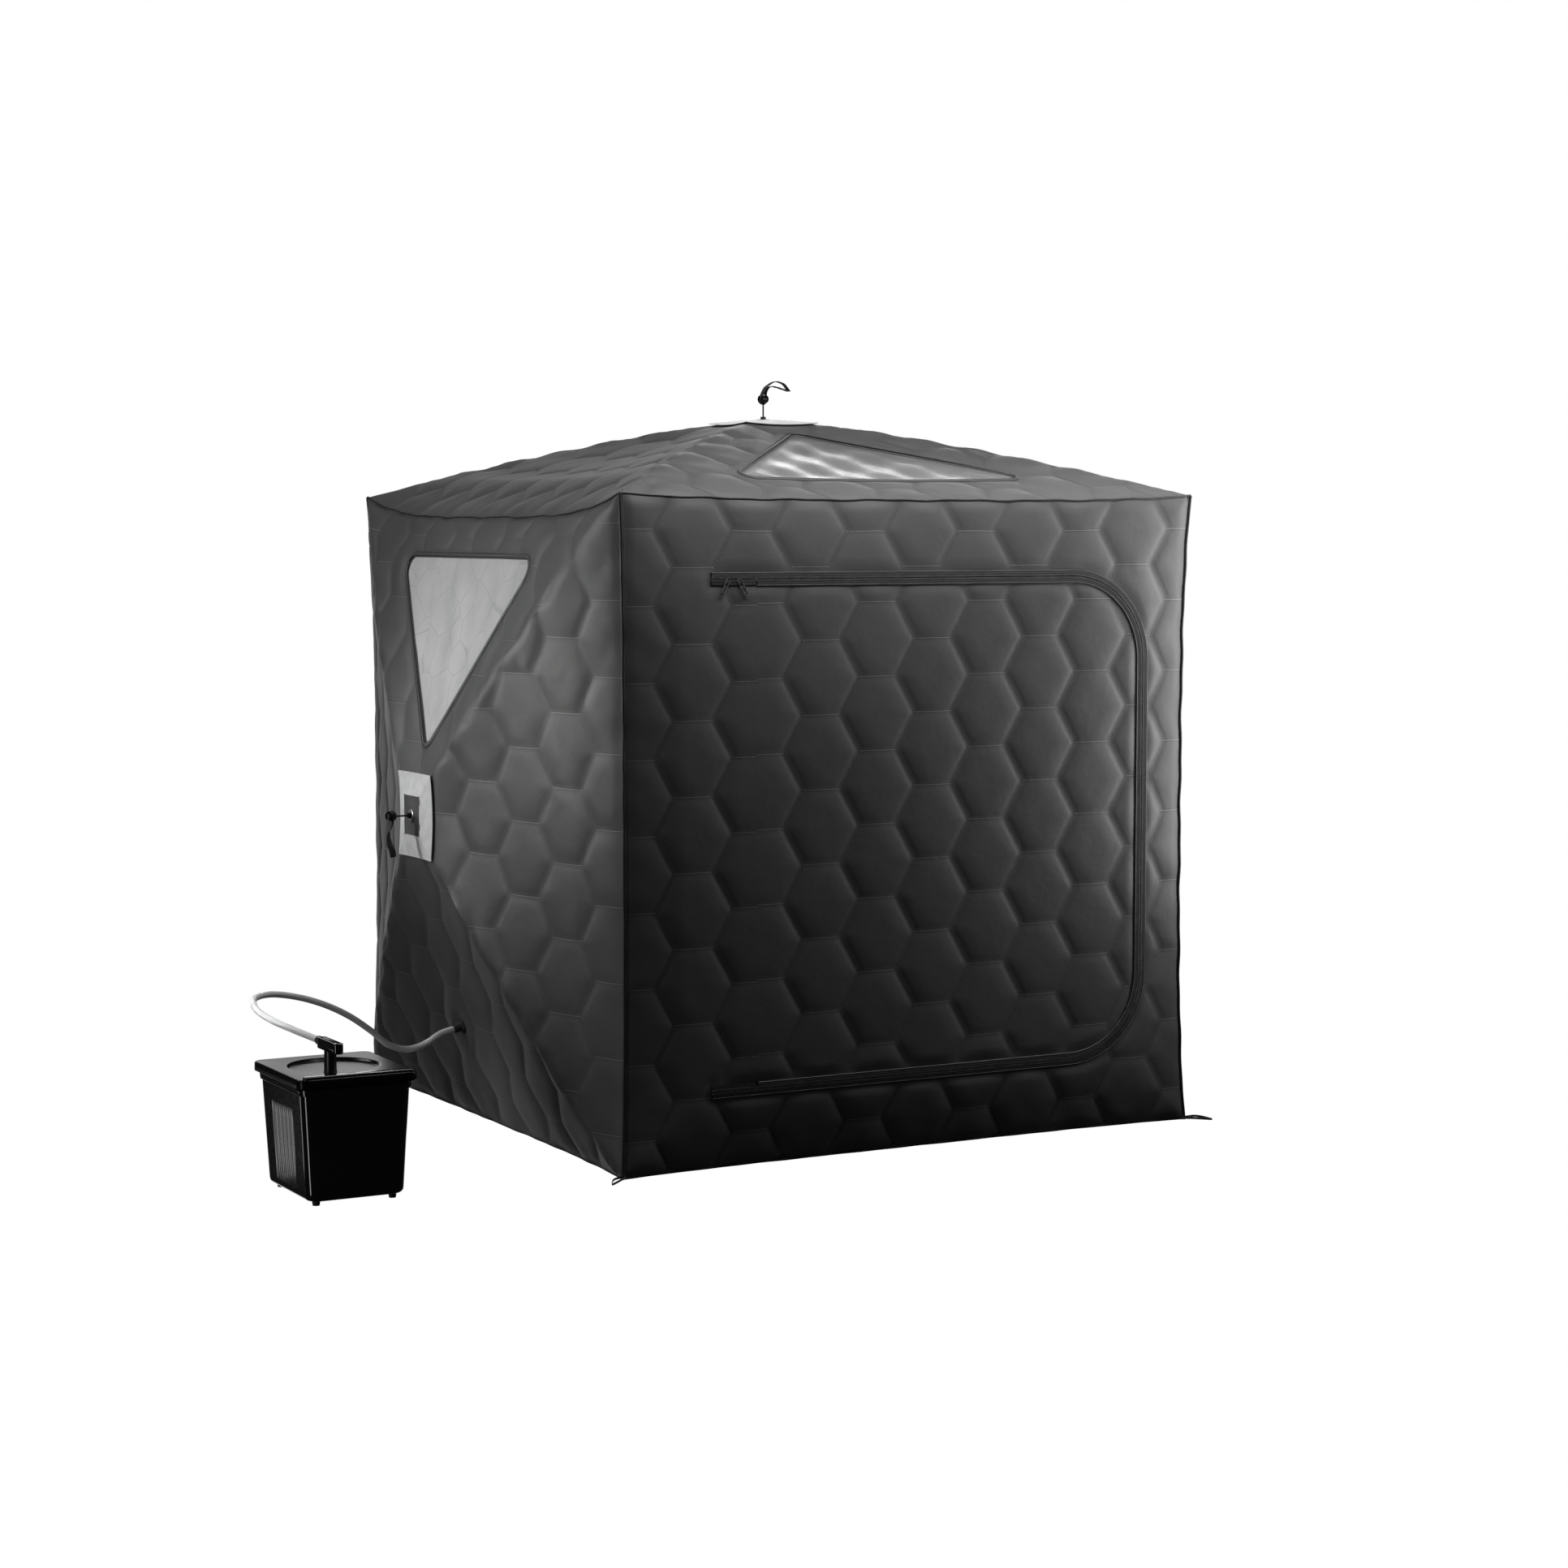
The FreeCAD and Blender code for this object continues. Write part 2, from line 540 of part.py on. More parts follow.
def pole(wall, key):
    """A straight rod from its pivot in a corner cup to its slot in the hub bracket."""
    x, y = DIAGONALS[key]
    pivot = V(x * float(PIVOT), y * float(PIVOT), float(PIVOT_LEVEL))
    reach = float(D.PoleEnd) / math.sqrt(2)
    end = V(x * reach, y * reach, float(POLE_LEVEL))
    item = bind(doc.addObject("Part::Cylinder", wall + "Pole" + key.upper()), Radius=D.PoleRadius)
    item.Height = (end - pivot).Length
    return item, WALLS[wall] * FreeCAD.Placement(pivot, FreeCAD.Rotation(V(0, 0, 1), end - pivot))


for wall in WALLS:
    turn, rise = (-90, float(D.RoofStrapRise)) if wall == "roof" else (0, 0)
    node(wall + "_hub_bracket", hub_bracket(wall), WALLS[wall])
    node(wall + "_hub_patch", hub_patch(wall), WALLS[wall])
    node(wall + "_hub_bolt", hub_bolt(wall, turn), WALLS[wall])
    strap, strap_place = pull_strap(wall, turn, rise)
    node(wall + "_pull_strap", strap, WALLS[wall] * strap_place)
    for key in DIAGONALS:
        rod, rod_place = pole(wall, key)
        node(f"{wall}_pole_{key}", rod, rod_place)


def cup_tools(name, wall, key):
    """A corner cup and its bore, lying flat along the wall's diagonal."""
    x, y = DIAGONALS[key]
    flat = FreeCAD.Rotation(V(0, 0, 1), V(-x, -y, 0))
    centre = float(INNER - D.SocketSize / 2)
    mouth = float(PIVOT - D.CupDeep / math.sqrt(2))
    pieces = []
    starts = ((D.CupRadius, centre), (D.CupBore, float(PIVOT) + float(D.CupDeep) / 3))
    for kind, (radius, start) in zip(("Cup", "Bore"), starts):
        item = bind(doc.addObject("Part::Cylinder", name + kind), Radius=radius)
        item.Height = (start - mouth) * math.sqrt(2)
        item.Placement = WALLS[wall] * FreeCAD.Placement(V(x * start, y * start, float(PIVOT_LEVEL)), flat)
        pieces.append(item)
    return pieces


CORNERS = {}
for wall in WALLS:
    for key, (x, y) in DIAGONALS.items():
        corner = WALLS[wall].multVec(V(x * float(HALF), y * float(HALF), 0))
        CORNERS.setdefault((round(corner.x), round(corner.y), round(corner.z)), []).append((wall, key))
sockets = []
for (x, y, z), poles in CORNERS.items():
    name = f"Socket{len(sockets) + 1}"
    middle = INNER - D.SocketSize / 2
    foot = D.WallThick if z == 0 else D.TentSize - D.WallThick - D.SocketSize
    block = box(name + "Block", D.SocketSize, D.SocketSize, D.SocketSize,
                middle * math.copysign(1, x), middle * math.copysign(1, y), foot)
    cups, bores = zip(*[cup_tools(f"{name}{wall}{key}", wall, key) for wall, key in poles])
    bore = bores[0] if len(bores) == 1 else fuse(name + "Bores", *bores)
    sockets.append(boolean("Cut", name, fuse(name + "Solid", block, *cups), bore))
node("corner_sockets", group("Sockets", *sockets))

node("floor_mat", box("FloorMat", INNER * 2, INNER * 2, D.WallThick))

loops = []
for index, (x, y) in enumerate(((-1, -1), (1, -1), (1, 1), (-1, 1)), start=1):
    band = doc.addObject("PartDesign::Body", f"StakeLoop{index}")
    sketch = body_sketch(band, f"StakeLoop{index}Outline")
    half = D.LoopWide / 2
    rounded_outline(sketch, 0, D.LoopLong, -half, half, half - 0.01)
    rounded_outline(sketch, D.LoopBand, D.LoopLong - D.LoopBand, D.LoopBand - half, half - D.LoopBand,
                    half - D.LoopBand - 0.01)
    pad(band, f"StakeLoop{index}Pad", sketch, D.LoopThick)
    band.Placement = FreeCAD.Placement(V(x * float(HALF), y * float(HALF), 0),
                                       FreeCAD.Rotation(V(1, 0, 0), V(x, y, 0)))
    loops.append(band)
node("stake_loops", group("StakeLoops", *loops))

# Steam generator --------------------------------------------------------------------------------


def tapered_block(name, low, high, base, top, shrink, kind="Additive", body=None):
    """A lofted block with round corners between two levels. shrink is taken off every side."""
    body = body or doc.addObject("PartDesign::Body", name)
    profiles = []
    for key, level, (long, deep) in (("Low", low, base), ("High", high, top)):
        sketch = body_sketch(body, name + key, offset=level)
        x, y = long / 2 - shrink, deep / 2 - shrink
        rounded_outline(sketch, -x, x, -y, y, D.SteamerCorner - shrink)
        profiles.append(sketch)
    loft = body.newObject(f"PartDesign::{kind}Loft", name + kind + "Loft")
    loft.Profile = profiles[0]
    loft.Sections = [profiles[1]]
    return body


STEAMER = FreeCAD.Placement(V(float(D.SteamerX), float(D.SteamerY), 0), FreeCAD.Rotation())
BASE = (D.BaseLong, D.BaseDeep)
RIM = (D.RimLong, D.RimDeep)

tank_shell = tapered_block("Tank", D.FootHigh, D.RimHigh, BASE, RIM, as_size(0))
tank_room = tapered_block("TankRoom", D.FootHigh + D.TankWall, D.RimHigh, BASE, RIM, D.TankWall)
inlet_way = box("InletWay", D.InletLong, D.InletDeep, D.InletTall, 0, D.BaseDeep / 2, D.InletHigh)
tank = boolean("Cut", "TankBody", tank_shell, fuse("TankHollow", tank_room, inlet_way))
node("steamer_body", tank, STEAMER)

feet = []
for x in (-1, 1):
    for y in (-1, 1):
        foot = bind(doc.addObject("Part::Cone", f"Foot{len(feet) + 1}"), Radius1=D.FootRadius - 2,
                    Radius2=D.FootRadius, Height=D.FootHigh)
        inset = [size / 2 - D.SteamerCorner for size in BASE]
        feet.append(at(foot, inset[0] * x, inset[1] * y, 0))
node("steamer_feet", group("Feet", *feet), STEAMER)

seal = plate("Seal", -D.RimLong / 2, D.RimLong / 2, -D.RimDeep / 2, D.RimDeep / 2, D.SteamerCorner,
             D.GasketThick, offset=D.RimHigh)
seal_room = plate("SealRoom", D.TankWall * 2 - D.RimLong / 2, D.RimLong / 2 - D.TankWall * 2,
                  D.TankWall * 2 - D.RimDeep / 2, D.RimDeep / 2 - D.TankWall * 2,
                  D.SteamerCorner - D.TankWall * 2, D.GasketThick, offset=D.RimHigh)
node("lid_gasket", boolean("Cut", "LidGasket", seal, seal_room), STEAMER)

LID_FOOT = D.RimHigh + D.GasketThick
LID_TOP = LID_FOOT + D.LidThick
lid_slab = plate("LidSlab", -D.LidLong / 2, D.LidLong / 2, -D.LidDeep / 2, D.LidDeep / 2, D.SteamerCorner,
                 D.LidThick, offset=LID_FOOT)
lid_bar = box("LidBar", D.LidLong - D.SteamerCorner, D.BarDeep, D.BarHigh, 0,
              D.BarDeep / 2 + D.BarInset - D.LidDeep / 2, LID_TOP)
dish = cylinder("LidDish", D.DishRadius, D.DishDeep, 0, D.DishShift, LID_TOP - D.DishDeep)
steam_way = cylinder("LidSteamWay", D.PostRadius / 2, D.LidThick, D.OutletX - D.SteamerX,
                     D.OutletY - D.SteamerY, LID_FOOT)
lid_solid = fuse("LidSolid", lid_slab, lid_bar)
node("steamer_lid", boolean("Cut", "Lid", lid_solid, fuse("LidHoles", dish, steam_way)), STEAMER)

DISH_LEVEL = LID_TOP - D.DishDeep
OUTLET = FreeCAD.Placement(V(float(D.OutletX), float(D.OutletY), float(DISH_LEVEL)), FreeCAD.Rotation())
post = cylinder("OutletPost", D.PostRadius, D.PostHigh)
arm = plate("OutletArm", -D.ArmWide / 2, D.ArmWide / 2, -D.ArmLong / 2, D.ArmLong / 2, D.ArmWide / 3,
            D.ArmHigh, offset=D.PostHigh)
node("steam_outlet", fuse("Outlet", post, arm), OUTLET)

HOSE_LEVEL = D.PostHigh + D.ArmHigh / 2
coupling = cylinder("Coupling", D.CouplingRadius, D.CouplingLong, 0, D.ArmLong / 2, HOSE_LEVEL,
                    V(1, 0, 0), -90)
node("hose_coupling", group("HoseCoupling", coupling), OUTLET)

ring = bind(doc.addObject("Part::Torus", "HeaterRing"), Radius1=D.HeaterRadius, Radius2=D.HeaterTube)
at(ring, 0, 0, D.FootHigh + D.HeaterHigh)
legs = [cylinder(f"HeaterLeg{side}", D.HeaterTube, D.HeaterHigh - D.TankWall, side * D.HeaterRadius, 0,
                 D.FootHigh + D.TankWall) for side in (-1, 1)]
node("heating_element", fuse("Heater", ring, *legs), STEAMER)

# The inlet's barrel fills its hole in the tank's back wall, and its flange stands outside.
inlet_y = D.BaseDeep / 2
barrel = box("InletBarrel", D.InletLong, D.InletDeep, D.InletTall, 0, inlet_y, D.InletHigh)
socket = box("InletSocket", D.InletMouth, D.InletDeep, D.InletTall / 2, 0, inlet_y + D.InletLip,
             D.InletHigh + D.InletTall / 4)
node("power_inlet", boolean("Cut", "PowerInlet", barrel, socket), STEAMER)

# Hose and its port ------------------------------------------------------------------------------


flange = port_line("PortFlange", D.PortFlange, as_size(0), D.FlangeThick)
spigot = port_line("PortSpigot", D.SpigotRadius, -D.WallThick, D.WallThick + D.PortReach)
port_bore = port_line("PortBore", D.PortBore, -D.WallThick, D.WallThick + D.PortReach)
node("hose_port", boolean("Cut", "HosePort", fuse("PortSolid", flange, spigot), port_bore), WALLS["left"])

# The hose leaves the outlet level, loops back over the gap and drops to the port in the left wall.
slope = math.atan2(float(D.Bulge), float(HALF - D.HubFlat))
port_out = V(-math.cos(slope), 0, -math.sin(slope))
port_foot = V(-float(HALF) - float(D.PortHigh) * math.tan(slope), 0, float(D.PortHigh))
HOSE_END = port_foot + port_out * float(D.PortReach)
HOSE_START = OUTLET.multVec(V(0, float(D.ArmLong / 2 + D.CouplingLong), float(HOSE_LEVEL)))
HOSE_ROUTE = [
    HOSE_START, V(-1655, -600, 398), V(-1666, -500, 403), V(-1683, -392, 413), V(-1688, -284, 428),
    V(-1660, -190, 441), V(-1592, -124, 440), V(-1505, -84, 422), V(-1415, -55, 391), V(-1330, -32, 348),
    V(-1258, -14, 298), V(-1200, -3, 252), V(-1142, 3, 235), V(-1086, 2, 248),
    HOSE_END + port_out * 42, HOSE_END,
]


def hose(points, radius):
    """A tube of straight runs joined by tangent arcs, each as large as its two runs allow."""
    edges = []
    start = points[0]
    radii = []
    for index in range(1, len(points) - 1):
        before = points[index - 1] - points[index]
        after = points[index + 1] - points[index]
        half_turn = (math.pi - before.getAngle(after)) / 2
        setback = 0.45 * min(before.Length, after.Length)
        radii.append(setback / math.tan(half_turn))
        first = points[index] + before.normalize() * setback
        last = points[index] + after.normalize() * setback
        bisector = (before + after).normalize()
        height = radii[-1] / math.cos(half_turn) - radii[-1]
        edges.append(Part.LineSegment(start, first).toShape())
        edges.append(Part.Arc(first, points[index] + bisector * height, last).toShape())
        start = last
    edges.append(Part.LineSegment(start, points[-1]).toShape())
    path = Part.Wire(edges)
    ring = Part.Wire(Part.Circle(points[0], points[1] - points[0], radius).toShape())
    tube = path.makePipeShell([ring], True, False)
    print("hose: length %.0f, radii" % path.Length, " ".join(f"{r:.0f}" for r in radii))
    print("hose: volume over section times length %.4f" % (tube.Volume / (math.pi * radius**2 * path.Length)))
    return tube


steam_hose = doc.addObject("Part::Feature", "SteamHose")
steam_hose.Shape = hose(HOSE_ROUTE, float(D.HoseRadius))
node("steam_hose", steam_hose)

# Check and write --------------------------------------------------------------------------------

doc.recompute()
for item in doc.Objects:
    if "Invalid" in item.State or "Error" in item.State:
        raise SystemExit(f"{item.Name} failed: {item.State}")
for name, item in NODES.items():
    if item.Shape.isNull() or not item.Shape.isValid() or not item.Shape.Solids:
        raise SystemExit(f"{name} has no valid solid")
os.makedirs("parts", exist_ok=True)
for name, item in NODES.items():
    item.Shape.exportStep(f"parts/{name}.step")
print(len(NODES), "nodes")
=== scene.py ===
import math

import bmesh
import bpy
import numpy as np
from mathutils import Matrix, Vector, geometry


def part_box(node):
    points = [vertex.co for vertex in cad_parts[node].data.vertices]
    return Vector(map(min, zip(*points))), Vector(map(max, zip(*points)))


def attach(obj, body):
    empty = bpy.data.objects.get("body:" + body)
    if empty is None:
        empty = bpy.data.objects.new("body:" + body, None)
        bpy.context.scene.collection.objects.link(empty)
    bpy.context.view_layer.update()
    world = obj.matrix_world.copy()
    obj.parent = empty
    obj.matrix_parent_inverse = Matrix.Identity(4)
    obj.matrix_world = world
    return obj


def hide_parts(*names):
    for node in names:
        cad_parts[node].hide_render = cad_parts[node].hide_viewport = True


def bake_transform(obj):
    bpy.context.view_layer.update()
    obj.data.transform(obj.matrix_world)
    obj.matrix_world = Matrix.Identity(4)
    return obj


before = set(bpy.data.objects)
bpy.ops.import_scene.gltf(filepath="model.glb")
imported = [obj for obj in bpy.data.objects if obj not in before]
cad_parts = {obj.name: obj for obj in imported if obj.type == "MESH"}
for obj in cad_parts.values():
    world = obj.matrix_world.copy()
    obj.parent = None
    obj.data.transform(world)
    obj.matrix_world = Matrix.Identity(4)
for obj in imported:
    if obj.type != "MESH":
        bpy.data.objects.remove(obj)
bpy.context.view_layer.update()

# Measures read from the frame ---------------------------------------------------------------------

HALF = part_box("front_wall")[1].x
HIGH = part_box("front_wall")[1].z
BULGE = -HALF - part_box("left_wall")[0].x
MAT_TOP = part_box("floor_mat")[1].z
LID_LOW, LID_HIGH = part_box("steamer_lid")
TANK_LOW, TANK_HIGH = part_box("steamer_body")
OUTLET_LOW, OUTLET_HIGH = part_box("steam_outlet")
PORT_LOW, PORT_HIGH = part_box("hose_port")
HUB_FLAT = 0.06

# Each wall's own directions: up the wall, across it and out of it, and the middle of its hem plane.
MIDDLE = Vector((0, 0, HIGH / 2))
WALLS = {
    "left": (Vector((0, 0, 1)), Vector((0, 1, 0)), Vector((-1, 0, 0))),
    "right": (Vector((0, 0, 1)), Vector((0, -1, 0)), Vector((1, 0, 0))),
    "back": (Vector((0, 0, 1)), Vector((1, 0, 0)), Vector((0, 1, 0))),
    "roof": (Vector((0, -1, 0)), Vector((1, 0, 0)), Vector((0, 0, 1))),
    "front": (Vector((0, 0, 1)), Vector((-1, 0, 0)), Vector((0, -1, 0))),
}
HUB_WALLS = ("left", "right", "back", "roof")


def wall_matrix(wall):
    """From a wall's own (up, across, out) to the row frame."""
    up, across, out = WALLS[wall]
    matrix = Matrix((up, across, out)).transposed().to_4x4()
    matrix.translation = MIDDLE + out * HALF
    return matrix


# Camera -------------------------------------------------------------------------------------------


def in_scene(name, data):
    """A new object in the scene."""
    made = bpy.data.objects.new(name, data)
    bpy.context.scene.collection.objects.link(made)
    return made


camera = in_scene("Camera", bpy.data.cameras.new("Camera"))
bpy.context.scene.camera = camera
camera.location = (-4.468, -8.378, 1.725)
camera.rotation_euler = (math.radians(90 - 4.696), 0, math.radians(-28.443))
camera.data.sensor_width = 36
camera.data.lens = 73.2
camera.data.clip_end = 60

# Materials ----------------------------------------------------------------------------------------


class Nodes:
    """A short way to write a material's node tree."""

    def __init__(self, name):
        self.material = bpy.data.materials.new(name)
        self.material.use_nodes = True
        self.tree = self.material.node_tree
        self.shader = self.tree.nodes["Principled BSDF"]

    def add(self, kind, inputs=(), **settings):
        """Adds a node with its settings and inputs."""
        made = self.tree.nodes.new(kind)
        for key, value in settings.items():
            setattr(made, key, value)
        for key, value in dict(inputs).items():
            self.set(made, key, value)
        return made

    def set(self, made, key, value):
        """Links a socket to a node's input, or sets the input to a value."""
        if isinstance(value, bpy.types.NodeSocket):
            self.tree.links.new(value, made.inputs[key])
        else:
            made.inputs[key].default_value = value

    def math(self, operation, *values):
        """The result of a sum, a product or the like."""
        made = self.add("ShaderNodeMath", operation=operation)
        for index, value in enumerate(values):
            self.set(made, index, value)
        return made.outputs[0]

    def finish(self, **inputs):
        """Sets the shader's inputs and gives the material."""
        for key, value in inputs.items():
            self.set(self.shader, key.replace("_", " "), value)
        return self.material

    def noise(self, vector, scale, detail=4, roughness=0.5):
        """Soft noise from 0 to 1."""
        made = self.add("ShaderNodeTexNoise", {"Vector": vector, "Scale": scale, "Detail": detail,
                                               "Roughness": roughness})
        return made.outputs["Fac"]

    def fit(self, value, start, end, low=0.0, high=1.0):
        """Goes from low to high as a value goes from start to end."""
        return self.add("ShaderNodeMapRange", {"Value": value, "From Min": start, "From Max": end,
                                               "To Min": low, "To Max": high}).outputs[0]

    def mix(self, factor, low, high):
        """Blends two colours. Each is a grey level or a socket."""
        made = self.add("ShaderNodeMix", {"Factor": factor}, data_type="RGBA")
        for index, colour in ((6, low), (7, high)):
            is_socket = isinstance(colour, bpy.types.NodeSocket)
            self.set(made, index, colour if is_socket else (colour, colour, colour, 1))
        return made.outputs[2]

    def bump(self, height, strength, distance, normal=None):
        """A surface normal tilted by a height."""
        made = self.add("ShaderNodeBump", {"Height": height, "Strength": strength, "Distance": distance})
        if normal is not None:
            self.set(made, "Normal", normal)
        return made.outputs["Normal"]

    def place(self):
        """The object's own coordinates."""
        return self.add("ShaderNodeTexCoord").outputs["Object"]


HEX_FLAT = 0.2014                       # across a quilted hexagon's flats, which lie level
HEX_SIDE = HEX_FLAT / math.sqrt(3)
STITCH, STITCH_HALF = 0.0065, 0.0010    # from one dash of thread to the next, and half a dash's width
WEAVE = 0.0011                          # from one thread of the cloth to the next


def hex_seam(n, uv):
    """Distance from a quilting seam, and the run along it, as sockets. uv is (across, up) in metres."""
    split = n.add("ShaderNodeSeparateXYZ", {0: uv})
    u, v = split.outputs[0], split.outputs[1]
    cells = []
    for shift_u, shift_v in ((0.0, 0.0), (HEX_SIDE * 1.5, HEX_FLAT / 2)):
        gu = n.math("WRAP", n.math("SUBTRACT", u, shift_u), HEX_SIDE * 1.5, -HEX_SIDE * 1.5)
        gv = n.math("WRAP", n.math("SUBTRACT", v, shift_v), HEX_FLAT / 2, -HEX_FLAT / 2)
        flat = n.math("ABSOLUTE", gv)
        slant = n.math("ADD", n.math("MULTIPLY", n.math("ABSOLUTE", gu), math.sqrt(0.75)),
                       n.math("MULTIPLY", flat, 0.5))
        cells.append((n.math("MAXIMUM", flat, slant), flat, slant))
    nearest = n.math("SUBTRACT", HEX_FLAT / 2, n.math("MINIMUM", cells[0][0], cells[1][0]))
    level = [n.math("GREATER_THAN", cell[1], cell[2]) for cell in cells]
    first = n.math("LESS_THAN", cells[0][0], cells[1][0])
    is_level = n.math("ADD", n.math("MULTIPLY", first, level[0]),
                      n.math("MULTIPLY", n.math("SUBTRACT", 1.0, first), level[1]))
    run = n.math("ADD", n.math("MULTIPLY", is_level, u),
                 n.math("MULTIPLY", n.math("SUBTRACT", 1.0, is_level), n.math("MULTIPLY", v, 1.155)))
    return nearest, is_level, run


def quilt_material(name, dark, light, rough, thread, sheen):
    """Coated cloth, quilted in hexagons with dashes of light thread along the seams, and painted shade that
    darkens the cloth next to each seam.
    """
    n = Nodes(name)
    uv = n.add("ShaderNodeUVMap", uv_map="Cloth").outputs[0]
    place = n.place()
    distance, is_level, run = hex_seam(n, uv)
    dash = n.math("GREATER_THAN", n.math("SINE", n.math("MULTIPLY", run, 2 * math.pi / STITCH)), 0.15)
    strength = n.math("ADD", 0.4, n.math("MULTIPLY", is_level, 0.6))
    on_seam = n.math("LESS_THAN", distance, STITCH_HALF)
    stitch = n.math("MULTIPLY", n.math("MULTIPLY", on_seam, dash), strength)
    shade = n.mix(n.fit(n.noise(place, 3.0, 3), 0.3, 0.7), dark, light)
    # painted shade: within 6 mm of a seam the cloth darkens towards 0.4 of its dark tone, for the shade in
    # the seam's crease
    groove = n.fit(distance, 0.0, 0.006, 0.45, 1.0)
    stitched = n.mix(stitch, n.mix(groove, dark * 0.4, shade), thread)
    scale = n.add("ShaderNodeVectorMath", {0: uv, "Scale": 1 / WEAVE}, operation="SCALE").outputs[0]
    weave = n.add("ShaderNodeSeparateXYZ", {0: scale})
    warp = n.math("SINE", n.math("MULTIPLY", weave.outputs[0], math.pi))
    weft = n.math("SINE", n.math("MULTIPLY", weave.outputs[1], math.pi))
    cloth = n.bump(n.math("MULTIPLY", warp, weft), 0.12, 0.0004)
    creases = n.bump(n.noise(place, 22.0, 5, 0.6), 0.25, 0.004, cloth)
    roughness = n.math("ADD", rough, n.math("MULTIPLY", n.noise(place, 9.0, 3), 0.12))
    return n.finish(Base_Color=stitched, Roughness=roughness, Normal=creases,
                    Sheen_Weight=sheen, Sheen_Roughness=0.4, Specular_IOR_Level=0.5)


WORN_EDGE = 0.56                        # an edge at least this sharp shows wear


def plain_material(name, dark, light, rough, scale=60.0, bump=0.1, depth=0.0005, metal=0.0, coat=0.0,
                   sheen=0.0, wear=0.0, shine=0.5):
    """Moulded, painted or woven stuff: two close shades, a fine grain and a little wear."""
    n = Nodes(name)
    place = n.place()
    grain = n.noise(place, scale, 5, 0.6)
    shade = n.mix(n.fit(n.noise(place, scale / 12, 3), 0.35, 0.65), dark, light)
    if wear:
        edge = n.add("ShaderNodeNewGeometry").outputs["Pointiness"]
        worn = n.math("MULTIPLY", n.math("GREATER_THAN", edge, WORN_EDGE), wear)
        shade = n.mix(worn, shade, min(1.0, light * 3 + 0.1))
    roughness = n.math("ADD", rough, n.math("MULTIPLY", n.math("SUBTRACT", grain, 0.5), 0.15))
    return n.finish(Base_Color=shade, Roughness=roughness, Metallic=metal, Coat_Weight=coat,
                    Sheen_Weight=sheen, Specular_IOR_Level=shine, Normal=n.bump(grain, bump, depth))


def ribbed_material(name, dark, light, rough, pitch, bump):
    """Woven webbing or tape: fine ribs along its length, from its own UV map."""
    n = Nodes(name)
    uv = n.add("ShaderNodeUVMap", uv_map="Cloth").outputs[0]
    split = n.add("ShaderNodeSeparateXYZ", {0: uv})
    ribs = n.math("SINE", n.math("MULTIPLY", split.outputs[0], 2 * math.pi / pitch))
    picks = n.math("SINE", n.math("MULTIPLY", split.outputs[1], 2 * math.pi / pitch))
    weave = n.math("MULTIPLY", ribs, picks)
    shade = n.mix(n.fit(weave, -1.0, 1.0), dark, light)
    return n.finish(Base_Color=shade, Roughness=rough, Sheen_Weight=0.1, Specular_IOR_Level=0.3,
                    Normal=n.bump(weave, bump, 0.0006))


def film_material(name, low, high):
    """Clear film, a little cloudy, whose tones are painted light and shade for what is seen through it, with
    a fine crackle of dark lines that is painted shade too.
    """
    n = Nodes(name)
    place = n.place()
    cloud = n.noise(place, 7.0, 5, 0.6)
    # painted shade: a net of dark jagged lines that stands in for the shadows seen through the film
    shade_streaks = n.add("ShaderNodeTexVoronoi", {"Vector": place, "Scale": 9.0}, feature="DISTANCE_TO_EDGE")
    crease = n.fit(shade_streaks.outputs[0], 0.0, 0.02, 0.25, 0.0)
    shade = n.mix(crease, n.mix(n.fit(cloud, 0.3, 0.7), low, high), 0.2)
    n.material.surface_render_method = "BLENDED"
    return n.finish(Base_Color=shade, Roughness=0.22, Alpha=0.62, Specular_IOR_Level=0.6,
                    Normal=n.bump(cloud, 0.15, 0.01))


